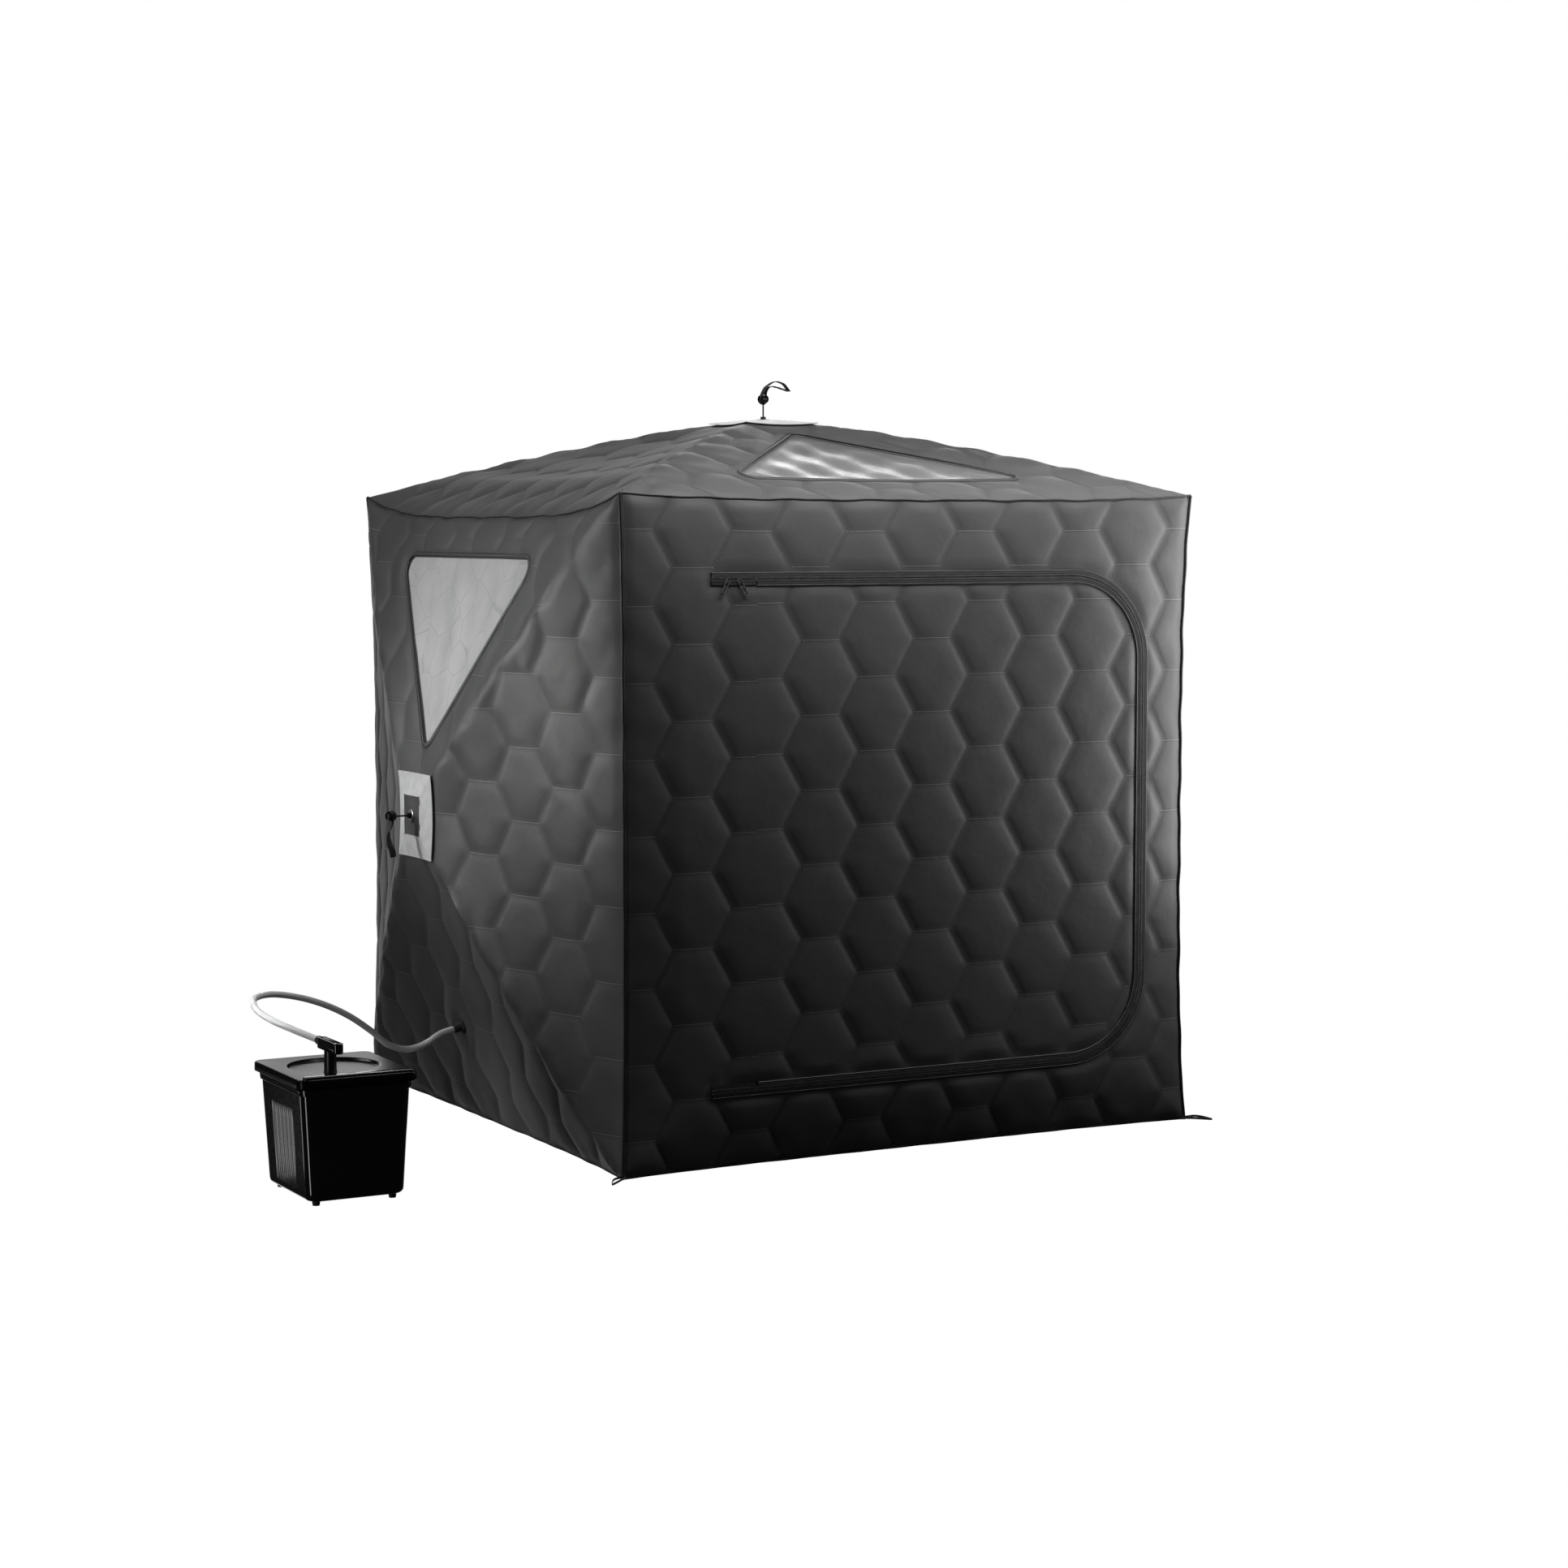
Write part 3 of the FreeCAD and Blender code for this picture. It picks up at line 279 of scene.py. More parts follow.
# Each colour is a grey level: the darker and the lighter shade, then how rough it is.
MATERIALS = {
    "quilt": quilt_material("QuiltedShell", 0.070, 0.085, 0.42, 0.36, 0.0),
    "lining": quilt_material("SilverLining", 0.34, 0.46, 0.30, 0.6, 0.0),
    "mat": quilt_material("FloorMatCloth", 0.05, 0.075, 0.6, 0.2, 0.1),
    # One clear film in two tones: the bright wall film is painted light and the dark roof film is painted
    # shade, for the light seen through each.
    "left_film": film_material("WallFilmPaintedLight", 0.80, 0.95),
    "roof_film": film_material("RoofFilmPaintedShade", 0.24, 0.34),
    "piping": plain_material("PipingCord", 0.006, 0.011, 0.42, 300, 0.2, sheen=0.1),
    "edge": plain_material("PipingLight", 0.10, 0.15, 0.45, 300, 0.2),
    "tape": ribbed_material("ZipTape", 0.006, 0.014, 0.55, 0.0016, 0.4),
    "coil": plain_material("ZipCoil", 0.11, 0.15, 0.28, 400, 0.05),
    "zip_metal": plain_material("ZipMetal", 0.02, 0.035, 0.22, 200, 0.05, metal=0.7, wear=0.4),
    "tab": plain_material("TabBlack", 0.006, 0.010, 0.35, 200, 0.05, shine=0.3),
    "patch": plain_material("PatchCloth", 0.66, 0.76, 0.5, 420, 0.25, 0.0004, sheen=0.2),
    "rubber_square": plain_material("PatchSquare", 0.07, 0.10, 0.5, 260, 0.2),
    "hub": plain_material("HubNylon", 0.014, 0.022, 0.42, 300, 0.12, wear=0.15),
    "bolt": plain_material("BoltBlack", 0.012, 0.02, 0.25, 200, 0.05, metal=0.6, wear=0.3),
    "washer": plain_material("WasherGrey", 0.30, 0.40, 0.32, 200, 0.05, metal=0.8),
    "webbing": ribbed_material("PullWebbing", 0.020, 0.045, 0.6, 0.0018, 0.7),
    "pole": plain_material("PoleFibreglass", 0.02, 0.03, 0.3, 500, 0.05, coat=0.3),
    "elastic": ribbed_material("LoopElastic", 0.05, 0.10, 0.65, 0.0012, 0.7),
    "gloss": plain_material("SteamerGloss", 0.0035, 0.005, 0.10, 90, 0.02, 0.0002, coat=0.6),
    "satin": plain_material("SteamerSatin", 0.004, 0.006, 0.34, 300, 0.06),
    "lid": plain_material("SteamerLid", 0.003, 0.0045, 0.22, 300, 0.04, shine=0.14),
    "rubber": plain_material("BlackRubber", 0.010, 0.016, 0.6, 260, 0.2),
    "steel": plain_material("ElementSteel", 0.45, 0.6, 0.28, 300, 0.05, metal=1.0),
    "hose": plain_material("HoseSilicone", 0.80, 0.86, 0.38, 80, 0.05, coat=0.15),
}

# Mesh tools ---------------------------------------------------------------------------------------


def finish_piece(piece, body, nodes=(), blend=None):
    """Rides a piece on its body, or, when it has a blend, bakes its place into its mesh; then hides the parts
    that it stands for.
    """
    if blend:
        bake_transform(piece)
    else:
        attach(piece, body)
    if nodes:
        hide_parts(*nodes)
    return piece


SHARP_ANGLE = 50                        # edges over this many degrees stay sharp
ROUGH_GAP = 1e-6                        # lengths under this count as nothing


def set_shading(mesh, smooth):
    """Shades a mesh smooth between its sharp edges, or flat."""
    mesh.polygons.foreach_set("use_smooth", [smooth] * len(mesh.polygons))
    if smooth:
        mesh.set_sharp_from_angle(angle=math.radians(SHARP_ANGLE))


def new_piece(name, points, faces, materials, uv=None, face_materials=None, smooth=True):
    """A mesh object from arrays. uv gives each point its (across, up) on the cloth, in metres."""
    mesh = bpy.data.meshes.new(name)
    mesh.from_pydata([tuple(map(float, p)) for p in points], [], [tuple(map(int, f)) for f in faces])
    for material in materials:
        mesh.materials.append(MATERIALS[material])
    if face_materials is not None:
        mesh.polygons.foreach_set("material_index", np.asarray(face_materials, np.int32))
    if uv is not None:
        layer = mesh.uv_layers.new(name="Cloth")
        loops = np.empty(len(mesh.loops), np.int32)
        mesh.loops.foreach_get("vertex_index", loops)
        layer.data.foreach_set("uv", np.asarray(uv, np.float32)[loops].ravel())
    mesh.validate()
    set_shading(mesh, smooth)
    return in_scene(name, mesh)


def from_bmesh(name, bm, material, smooth=True, matrix=None):
    """A mesh object from a bmesh, which is used up."""
    mesh = bpy.data.meshes.new(name)
    bmesh.ops.recalc_face_normals(bm, faces=bm.faces)
    bm.to_mesh(mesh)
    bm.free()
    if matrix is not None:
        mesh.transform(matrix)
    mesh.materials.append(MATERIALS[material])
    set_shading(mesh, smooth)
    return in_scene(name, mesh)


def bevelled(piece, width, segments):
    """Rounds a piece's edges."""
    modifier = piece.modifiers.new("Bevel", "BEVEL")
    modifier.width = width
    modifier.segments = segments
    modifier.limit_method = "ANGLE"
    modifier.angle_limit = math.radians(35)
    modifier.harden_normals = False
    graph = bpy.context.evaluated_depsgraph_get()
    mesh = bpy.data.meshes.new_from_object(piece.evaluated_get(graph))
    piece.modifiers.clear()
    piece.data = mesh
    return piece


def join(name, pieces):
    """Joins the pieces' meshes into one piece, keeping each one's materials."""
    bm = bmesh.new()
    bm.loops.layers.uv.new("Cloth")
    materials = []
    for piece in pieces:
        slots = []
        for material in piece.data.materials:
            if material not in materials:
                materials.append(material)
            slots.append(materials.index(material))
        if "Cloth" not in piece.data.uv_layers:
            piece.data.uv_layers.new(name="Cloth")
        before = len(bm.faces)
        bm.from_mesh(piece.data)
        bm.faces.ensure_lookup_table()
        for face in bm.faces[before:]:
            face.material_index = slots[face.material_index] if slots else 0
    mesh = bpy.data.meshes.new(name)
    bm.to_mesh(mesh)
    bm.free()
    for material in materials:
        mesh.materials.append(material)
    for piece in pieces:
        bpy.data.objects.remove(piece)
    return in_scene(name, mesh)


def run_along(points):
    """How far along a line each of its points is."""
    return np.concatenate([[0], np.cumsum(np.linalg.norm(np.diff(points, axis=0), axis=1))])


def ease(share):
    """Goes from 0 to 1 with a level start and end."""
    share = np.clip(share, 0, 1)
    return share * share * (3 - 2 * share)


def skin_faces(count, sides, closed=False):
    """Faces of a skin through rings of points, with an end on each side unless it runs round to its start."""
    faces = []
    for i in range(count if closed else count - 1):
        j = (i + 1) % count
        for k in range(sides):
            m = (k + 1) % sides
            faces.append((i * sides + k, i * sides + m, j * sides + m, j * sides + k))
    if not closed:
        faces.append(tuple(range(sides))[::-1])
        faces.append(tuple((count - 1) * sides + k for k in range(sides)))
    return faces


def line_frames(points, normals=None, closed=False):
    """The normal and the side at each point of a line, turned as little as possible along it."""
    points = np.asarray(points, float)
    if closed:
        tangent = np.roll(points, -1, 0) - np.roll(points, 1, 0)
    else:
        tangent = np.gradient(points, axis=0)
    tangent /= np.linalg.norm(tangent, axis=1)[:, None]
    if normals is not None:
        normal = np.array(normals, float)
        normal -= tangent * np.sum(normal * tangent, 1)[:, None]
        normal /= np.linalg.norm(normal, axis=1)[:, None]
        return normal, np.cross(tangent, normal)
    start = np.array((0.1, 0.2, 1.0))
    normals = []
    for step in tangent:
        start = start - step * start.dot(step)
        start /= np.linalg.norm(start)
        normals.append(start)
    normal = np.array(normals)
    return normal, np.cross(tangent, normal)


def tube(name, points, radius, material, sides=8, normals=None, closed=False, flat=1.0, section=None):
    """A tube along points. flat squashes it; section is any outline to sweep, scaled by the radius."""
    points = np.asarray(points, float)
    normal, side = line_frames(points, normals, closed)
    if section is None:
        turns = np.arange(sides) * 2 * math.pi / sides
        section = np.stack([np.cos(turns) * flat, np.sin(turns)], 1)
    section = np.asarray(section, float) * radius
    rings = points[:, None] + section[:, :1] * normal[:, None] + section[:, 1:] * side[:, None]
    over = run_along(section)
    uv = np.stack(np.broadcast_arrays(over[None], run_along(points)[:, None]), -1).reshape(-1, 2)
    faces = skin_faces(len(points), len(section), closed)
    return new_piece(name, rings.reshape(-1, 3), faces, [material], uv)


def smooth_route(points, spacing=0.006):
    """A smooth line through the route's points."""
    points = np.asarray(points, float)
    run = run_along(points)
    slope = np.gradient(points, run, axis=0)
    at = np.linspace(0, run[-1], int(run[-1] / spacing) + 1)
    index = np.clip(np.searchsorted(run, at, side="right") - 1, 0, len(run) - 2)
    span = run[index + 1] - run[index]
    t = ((at - run[index]) / span)[:, None]
    a, b = points[index], points[index + 1]
    da, db = slope[index] * span[:, None], slope[index + 1] * span[:, None]
    ends = (2 * t**3 - 3 * t**2 + 1) * a + (3 * t**2 - 2 * t**3) * b
    return ends + (t**3 - 2 * t**2 + t) * da + (t**3 - t**2) * db


def disc_profile(name, profile, material, sides=48, matrix=None):
    """A turned piece: (radius, height) points spun about Z."""
    bm = bmesh.new()
    rings = []
    for radius, height in profile:
        if radius < ROUGH_GAP:
            rings.append([bm.verts.new((0, 0, height))])
            continue
        rings.append([bm.verts.new((radius * math.cos(a), radius * math.sin(a), height))
                      for a in (i * 2 * math.pi / sides for i in range(sides))])
    for low, high in zip(rings, rings[1:]):
        for i in range(sides):
            j = (i + 1) % sides
            corners = [low[i % len(low)], low[j % len(low)], high[j % len(high)], high[i % len(high)]]
            unique = list(dict.fromkeys(corners))
            if len(unique) > 2:
                bm.faces.new(unique)
    return from_bmesh(name, bm, material, matrix=matrix)


def face_out(piece):
    """Turns a closed piece's faces outward."""
    bm = bmesh.new()
    bm.from_mesh(piece.data)
    bmesh.ops.recalc_face_normals(bm, faces=bm.faces)
    bm.to_mesh(piece.data)
    bm.free()
    return piece


def loft(name, rings, material, matrix=None):
    """A closed skin through rings of the same number of points."""
    points = np.vstack(rings)
    piece = new_piece(name, points, skin_faces(len(rings), len(rings[0])), [material], points[:, :2])
    if matrix is not None:
        piece.data.transform(matrix)
    return face_out(piece)


def rounded_loop(half_x, half_y, radius, steps=6):
    """Points round a rectangle with rounded corners, anticlockwise, with the way out at each."""
    points, ways = [], []
    for k, (sx, sy) in enumerate(((1, 1), (-1, 1), (-1, -1), (1, -1))):
        for i in range(steps + 1):
            turn = math.radians(90 * k + 90 * i / steps)
            points.append((sx * (half_x - radius) + radius * math.cos(turn),
                           sy * (half_y - radius) + radius * math.sin(turn)))
            ways.append((math.cos(turn), math.sin(turn)))
    return np.array(points), np.array(ways)


def resample(points, spacing, closed=False):
    """Evenly spaced points along a line of points."""
    points = np.asarray(points, float)
    if closed:
        points = np.vstack([points, points[:1]])
    run = run_along(points)
    count = max(2, int(round(run[-1] / spacing)) + 1)
    at = np.linspace(0, run[-1], count)
    line = np.stack([np.interp(at, run, points[:, k]) for k in range(points.shape[1])], 1)
    return line[:-1] if closed else line


# The tent's cloth ---------------------------------------------------------------------------------
# A wall is worked out on its own plane: x up the wall and y across it, both from its middle. Its
# surface rises towards the hub in four quarters. Each point is then moved with the slack hems.

WALL_THICK = 0.012
EDGE_BOW = 0.016                        # how far an upright edge bows in, along each axis
TOP_DIP = {"left": 0.062, "right": 0.062, "back": 0.062, "front": 0.016}
TOP_PULL = 0.1
FOOT_BOW = 0.027
HEM_REACH = 0.2                         # the share of the half width that moves with a slack hem
RIDGE_BOW = 0.018
QUARTER_SAG = 0.010
RIDGE_RIPPLE, RIPPLE_TURNS = 0.003, 58
PUFF = 0.0055
SEAM_SINK = 0.0015
SEWN_FLAT = 0.03                        # the quilting rises over this much from a sewn edge
HEM_WAVES = ((0.0012, 24, 1.3), (0.0009, 51, 0.4))      # how high, how close together, and where they start
PORT = ((PORT_LOW.z + PORT_HIGH.z) / 2 - HIGH / 2, 0.0)
PORT_REACH = 0.13


def away_from_port(x, y):
    """Fades to 0 round the hose port, where the wall keeps the shape that the port is fitted to."""
    return 1 - np.exp(-(((x - PORT[0])**2 + (y - PORT[1])**2) / PORT_REACH**2)**2)


def surface(x, y, wall):
    """Height of a wall's smooth surface over its hem plane."""
    x, y = np.asarray(x, float), np.asarray(y, float)
    if wall == "front":
        return np.zeros_like(x)
    reach = np.maximum(abs(x), abs(y))
    m = reach / HALF
    flat = HUB_FLAT / HALF
    base = BULGE * np.clip((1 - m) / (1 - flat), 0, 1)
    ridge = np.minimum(abs(x), abs(y)) / np.maximum(reach, ROUGH_GAP)
    bow = np.clip(4 * m * (1 - m), 0, 1) * np.clip((m - flat) / 0.15, 0, 1)
    if wall == "left":
        bow = bow * away_from_port(x, y)
    ripple = RIDGE_RIPPLE * np.sin(reach * RIPPLE_TURNS) * ridge**6
    return base + bow * (RIDGE_BOW * ridge**2 - QUARTER_SAG * (1 - ridge**2) + ripple)


def hem_move(out, own):
    """How the middle of a hem moves: the hem is the edge between a wall facing out and one facing own."""
    if (out + own)[2] > 0.5:
        side = own if out[2] > 0.5 else out
        wall = next(name for name in TOP_DIP if np.allclose(WALLS[name][2], side))
        return -TOP_DIP[wall] * (np.array((0, 0, 1.0)) + TOP_PULL * side)
    if (out + own)[2] < -0.5:
        return -FOOT_BOW * out
    return -EDGE_BOW * (out + own)


def hem_shift(x, y, wall):
    """How far a wall's points move with its slack hems, in the row frame."""
    up, across, out = (np.array(way) for way in WALLS[wall])
    tall = abs(x) > abs(y)
    reach = np.maximum(np.maximum(abs(x), abs(y)), ROUGH_GAP)
    along = np.where(tall, y, x) / reach
    slack = 1 - along**4
    fade = np.clip(1 - (1 - reach / HALF) / HEM_REACH, 0, 1)**1.35
    if wall == "left":
        fade = fade * away_from_port(x, y)
    shift = np.zeros((len(x), 3))
    sides = ((tall & (x > 0), up), (tall & (x <= 0), -up),
             (~tall & (y > 0), across), (~tall & (y <= 0), -across))
    for mask, own in sides:
        move = hem_move(out, own)
        hem_way = across if abs(np.dot(own, up)) > 0.5 else up
        line = along * HALF * np.sign(np.dot(hem_way, (1, 1, 1)))
        ripple = sum(high * np.sin(line * close + start) for high, close, start in HEM_WAVES)
        amount = slack + ripple * np.sqrt(slack) / np.linalg.norm(move)
        shift[mask] = (amount * fade)[mask, None] * move
    return shift


def hex_distances(u, v, phase):
    """Distances of points to the nearest slanted and level quilting seams of the hexagon they are in."""
    best = None
    for shift_u, shift_v in ((0, 0), (HEX_SIDE * 1.5, HEX_FLAT / 2)):
        gu = (u - phase[0] - shift_u + HEX_SIDE * 1.5) % (HEX_SIDE * 3) - HEX_SIDE * 1.5
        gv = (v - phase[1] - shift_v + HEX_FLAT / 2) % HEX_FLAT - HEX_FLAT / 2
        level, slant = abs(gv), abs(gu) * math.sqrt(0.75) + abs(gv) / 2
        ring = np.maximum(level, slant)
        if best is None:
            best = (ring, slant, level)
        else:
            best = tuple(np.where(ring < best[0], new, old) for new, old in zip((ring, slant, level), best))
    return HEX_FLAT / 2 - best[1], HEX_FLAT / 2 - best[2]


def puff(x, y, phase):
    """The quilting's rise off the smooth surface: soft pillows, creased most along the slanted seams."""
    slant, level = hex_distances(y, x, phase)
    reaches = ((slant, 0.34), (level, 0.25))
    rise = [1 - (1 - np.clip(way / (HEX_FLAT * reach), 0, 1))**2.2 for way, reach in reaches]
    crease = np.exp(-(slant / 0.006)**2) + 0.4 * np.exp(-(level / 0.004)**2)
    return PUFF * rise[0] * (0.78 + 0.22 * rise[1]) - SEAM_SINK * crease


def inside(points, outline):
    """Which points lie within a closed outline."""
    x, y = points[:, 0], points[:, 1]
    hits = np.zeros(len(points), bool)
    for (ax, ay), (bx, by) in zip(outline, np.roll(outline, -1, 0)):
        crosses = (ay > y) != (by > y)
        hits ^= crosses & (x < ax + (y - ay) * (bx - ax) / (by - ay + 1e-15))
    return hits


def distance_to(points, outline):
    """Distance of points from a closed outline's line."""
    best = np.full(len(points), 1e9)
    for a, b in zip(outline, np.roll(outline, -1, 0)):
        way = b - a
        t = np.clip((points - a) @ way / max(way @ way, 1e-15), 0, 1)
        best = np.minimum(best, np.linalg.norm(points - a - t[:, None] * way, axis=1))
    return best


def mesh_region(outline, holes, phase, spacing):
    """Triangles inside an outline and outside holes, on a lattice that the quilting seams follow."""
    row = spacing * math.sqrt(0.75)
    low, high = outline.min(0), outline.max(0)
    rows = range(int((low[0] - phase[1]) / row) - 2, int((high[0] - phase[1]) / row) + 3)
    columns = range(int((low[1] - phase[0]) / spacing) - 2, int((high[1] - phase[0]) / spacing) + 3)
    lattice = np.array([(phase[1] + i * row, phase[0] + (j + 0.5 * (i % 2)) * spacing)
                        for i in rows for j in columns])
    clear = spacing * 0.42
    keep = inside(lattice, outline) & (distance_to(lattice, outline) > clear)
    for hole in holes:
        keep &= ~inside(lattice, hole) & (distance_to(lattice, hole) > clear)
    lattice = lattice[keep]
    loops = [resample(loop, spacing, closed=True) for loop in (outline, *holes)]
    points = np.vstack([*loops, lattice])
    edges, start = [], 0
    for loop in loops:
        edges += [(start + i, start + (i + 1) % len(loop)) for i in range(len(loop))]
        start += len(loop)
    found = geometry.delaunay_2d_cdt([Vector(p) for p in points], edges, [], 0, ROUGH_GAP)
    points = np.array([tuple(p) for p in found[0]])
    faces = np.array([tuple(f) for f in found[2] if len(f) == 3])
    middle = points[faces].mean(1)
    keep = inside(middle, loops[0])
    for loop in loops[1:]:
        keep &= ~inside(middle, loop)
    return points, faces[keep]


def outward(points, wall, depth, x, y):
    """Puts wall-plane points in the row frame, at a height over the wall's smooth surface."""
    height = surface(x, y, wall) + depth
    matrix = np.array(wall_matrix(wall))
    local = np.stack([x, y, height, np.ones_like(x)], 1)
    return (local @ matrix.T)[:, :3] + hem_shift(x, y, wall)


def corners_to_line(corners, radius, steps=7):
    """A closed outline with round corners from a few corner points."""
    line = []
    count = len(corners)
    radii = np.broadcast_to(radius, count)
    for i in range(count):
        here, before, after = (np.array(corners[(i + k) % count], float) for k in (0, -1, 1))
        a, b = before - here, after - here
        a, b = a / np.linalg.norm(a), b / np.linalg.norm(b)
        half = math.acos(np.clip(a @ b, -1, 1)) / 2
        if radii[i] <= 0:
            line.append(here)
            continue
        back = radii[i] / math.tan(half)
        centre = here + (a + b) / np.linalg.norm(a + b) * radii[i] / math.sin(half)
        first, last = here + a * back - centre, here + b * back - centre
        sweep = math.atan2(first[0] * last[1] - first[1] * last[0], first @ last)
        for k in range(steps + 1):
            turn = sweep * k / steps
            line.append(centre + (first[0] * math.cos(turn) - first[1] * math.sin(turn),
                                  first[0] * math.sin(turn) + first[1] * math.cos(turn)))
    return np.array(line)


def two_skins(name, front, back, faces, way, materials, uv):
    """A closed sheet from its two skins' points and one skin's faces. The front skin faces the given way."""
    count = len(front)
    used = {(a, b) for f in faces for a, b in ((f[0], f[1]), (f[1], f[2]), (f[2], f[0]))}
    strip = [(a, b, b + count, a + count) for a, b in used if (b, a) not in used]
    first = [front[i] for i in faces[0]]
    if np.cross(first[1] - first[0], first[2] - first[0]) @ np.array(way) < 0:
        faces = faces[:, ::-1]
    else:
        strip = [face[::-1] for face in strip]
    every = [tuple(f) for f in faces] + [tuple(f[::-1] + count) for f in faces] + strip
    kinds = [0] * len(faces) + [len(materials) - 1] * len(faces) + [0] * len(strip)
    return new_piece(name, np.vstack([front, back]), every, materials, np.vstack([uv, uv]), kinds)


def cloth_piece(name, wall, outline, holes, phase, free_edges, quilting=None):
    """A quilted panel: an outer skin, an inner skin and the strip that closes them.
    free_edges says, for each point, how far it is from the edges where the quilting is sewn flat.
    quilting gives the quilting's rise, where it isn't one plain pattern of hexagons."""
    points, faces = mesh_region(outline, holes, phase, HEX_SIDE / 8)
    x, y = points[:, 0], points[:, 1]
    flat = ease(free_edges(points) / SEWN_FLAT)
    rise = (quilting(x, y) if quilting else puff(x, y, phase)) * flat
    outer = outward(points, wall, rise, x, y)
    inner = outward(points, wall, -WALL_THICK * 0.75 * (0.35 + 0.65 * flat) - rise * 0.4, x, y)
    uv = np.stack([y - phase[0], x - phase[1]], 1)
    return two_skins(name, outer, inner, faces, WALLS[wall][2], ["quilt", "lining"], uv)


# Hub walls ----------------------------------------------------------------------------------------

PATCH_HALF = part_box("left_hub_patch")[1].y
PATCH_STIFF = 0.30                      # how much of the wall's slope the stiff patch stands clear of
STEM_HIGH = 0.063
PLATE_TOP = 0.0025
BOTTOM_CUT = 0.012
STILL_HEM = 0.07                        # the hem end of each quarter's blend lies this far inside the hem
QUARTERS = {"up": (1, 0), "down": (-1, 0), "fore": (0, -1), "aft": (0, 1)}
WINDOW_TIP, WINDOW_TOP, WINDOW_SIDE, WINDOW_CORNER = 0.185, 0.728, 0.48, 0.034
WINDOW_TURNS = [(WINDOW_TIP, 0), (WINDOW_TOP, WINDOW_SIDE), (WINDOW_TOP, -WINDOW_SIDE)]
WINDOW = corners_to_line(WINDOW_TURNS, WINDOW_CORNER)
PORT_HOLE, PORT_FLANGE = 0.0125, 0.026
# Where a level seam's middle lies in each quarter's quilting: (across the wall, up it).
SEAM_MIDDLES = {
    "left_up": (-0.26, 0.8077), "left_fore": (-0.674, 0.3195), "left_down": (-0.50, 0.2035),
    "left_aft": (0.61, 0.25), "roof": (-0.367, 0.814), "front": (0.513, 0.807), "door": (0.476, 0.6107),
    "right": (0.21, 0.33), "back": (0.05, 0.41),
}


def seam_phase(name):
    """The middle of a hexagon, from the middle of the level seam on its upper side."""
    middle = SEAM_MIDDLES.get(name) or SEAM_MIDDLES[name.split("_")[0]]
    return middle[0], middle[1] - HEX_FLAT / 2


def on_wall(wall, points, depth=0.0):
    """A line on a wall, put in the row frame."""
    points = np.asarray(points, float)
    return outward(points, wall, depth, points[:, 0], points[:, 1])


def quarter_blend(wall, key):
    """The blend of a quarter of a hub wall, from its hem to its hub."""
    x, y = QUARTERS[key]
    matrix = wall_matrix(wall)
    hem, hub = HALF - STILL_HEM, HUB_FLAT
    return "tent", wall + "_hub", tuple(matrix @ Vector((x * hem, y * hem, 0))), \
        tuple(matrix @ Vector((x * hub, y * hub, 0)))


def quarter_outline(key, inner, outer):
    """The four corners of a quarter, from one square round the hub to another."""
    x, y = QUARTERS[key]
    turns = ((outer, 1), (outer, -1), (inner, -1), (inner, 1))
    return np.array([(x * reach + s * y * reach, y * reach - s * x * reach) for reach, s in turns])


def wall_node(wall):
    """The name of a wall's node in the frame."""
    return "roof" if wall == "roof" else wall + "_wall"


def hub_quarter(wall, key):
    """One quilted quarter of a hub wall."""
    window = key == "up" and wall in ("left", "roof")
    port = key == "down" and wall == "left"
    holes = [WINDOW] if window else []
    if port:
        turns = np.arange(20) * math.pi / 10
        holes.append(np.stack([PORT[0] + PORT_HOLE * np.cos(turns), PORT[1] + PORT_HOLE * np.sin(turns)], 1))

    def free(points):
        """How far each point is from the hem, the ridges, the patch, the window and the port."""
        x, y = abs(points[:, 0]), abs(points[:, 1])
        reach = np.maximum(x, y)
        near = np.minimum(HALF - reach, np.clip(reach - PATCH_HALF, 0, None))
        near = np.minimum(near, abs(x - y) / math.sqrt(2) * 2.2)
        if window:
            near = np.minimum(near, np.clip(distance_to(points, WINDOW) - 0.012, 0, None) * 1.2)
        if port:
            from_port = np.hypot(points[:, 0] - PORT[0], points[:, 1])
            near = np.minimum(near, np.clip(from_port - PORT_FLANGE, 0, None))
        return near

    piece = cloth_piece(f"{wall}_cloth_{key}", wall, quarter_outline(key, BOTTOM_CUT, HALF), holes,
                        seam_phase(f"{wall}_{key}"), free)
    return finish_piece(piece, None, [wall_node(wall)], quarter_blend(wall, key))


def hub_patch(wall, key):
    """A quarter of the sewn square patch that covers the hub."""
    outline = quarter_outline(key, HUB_FLAT - 0.004, PATCH_HALF)
    points, faces = mesh_region(outline, [], (0, 0), 0.012)
    x, y = points[:, 0], points[:, 1]
    edge = PATCH_HALF - np.maximum(abs(x), abs(y))
    ripple = 0.0006 * np.sin(x * 90 + 1) * np.sin(y * 80) * np.clip(edge / 0.02, 0, 1)
    stitched = -0.0008 * np.exp(-((edge - 0.006) / 0.0022)**2)
    clear = BULGE * PATCH_STIFF * np.clip((np.maximum(abs(x), abs(y)) - HUB_FLAT) / (HALF - HUB_FLAT), 0, 1)
    top = outward(points, wall, clear + 0.0026 + ripple + stitched, x, y)
    foot = outward(points, wall, clear + 0.0008, x, y)
    uv = np.stack([y, x], 1)
    piece = two_skins(f"{wall}_patch_{key}", top, foot, faces, WALLS[wall][2], ["patch"], uv)
    return finish_piece(piece, None, [wall + "_hub_patch"], quarter_blend(wall, key))


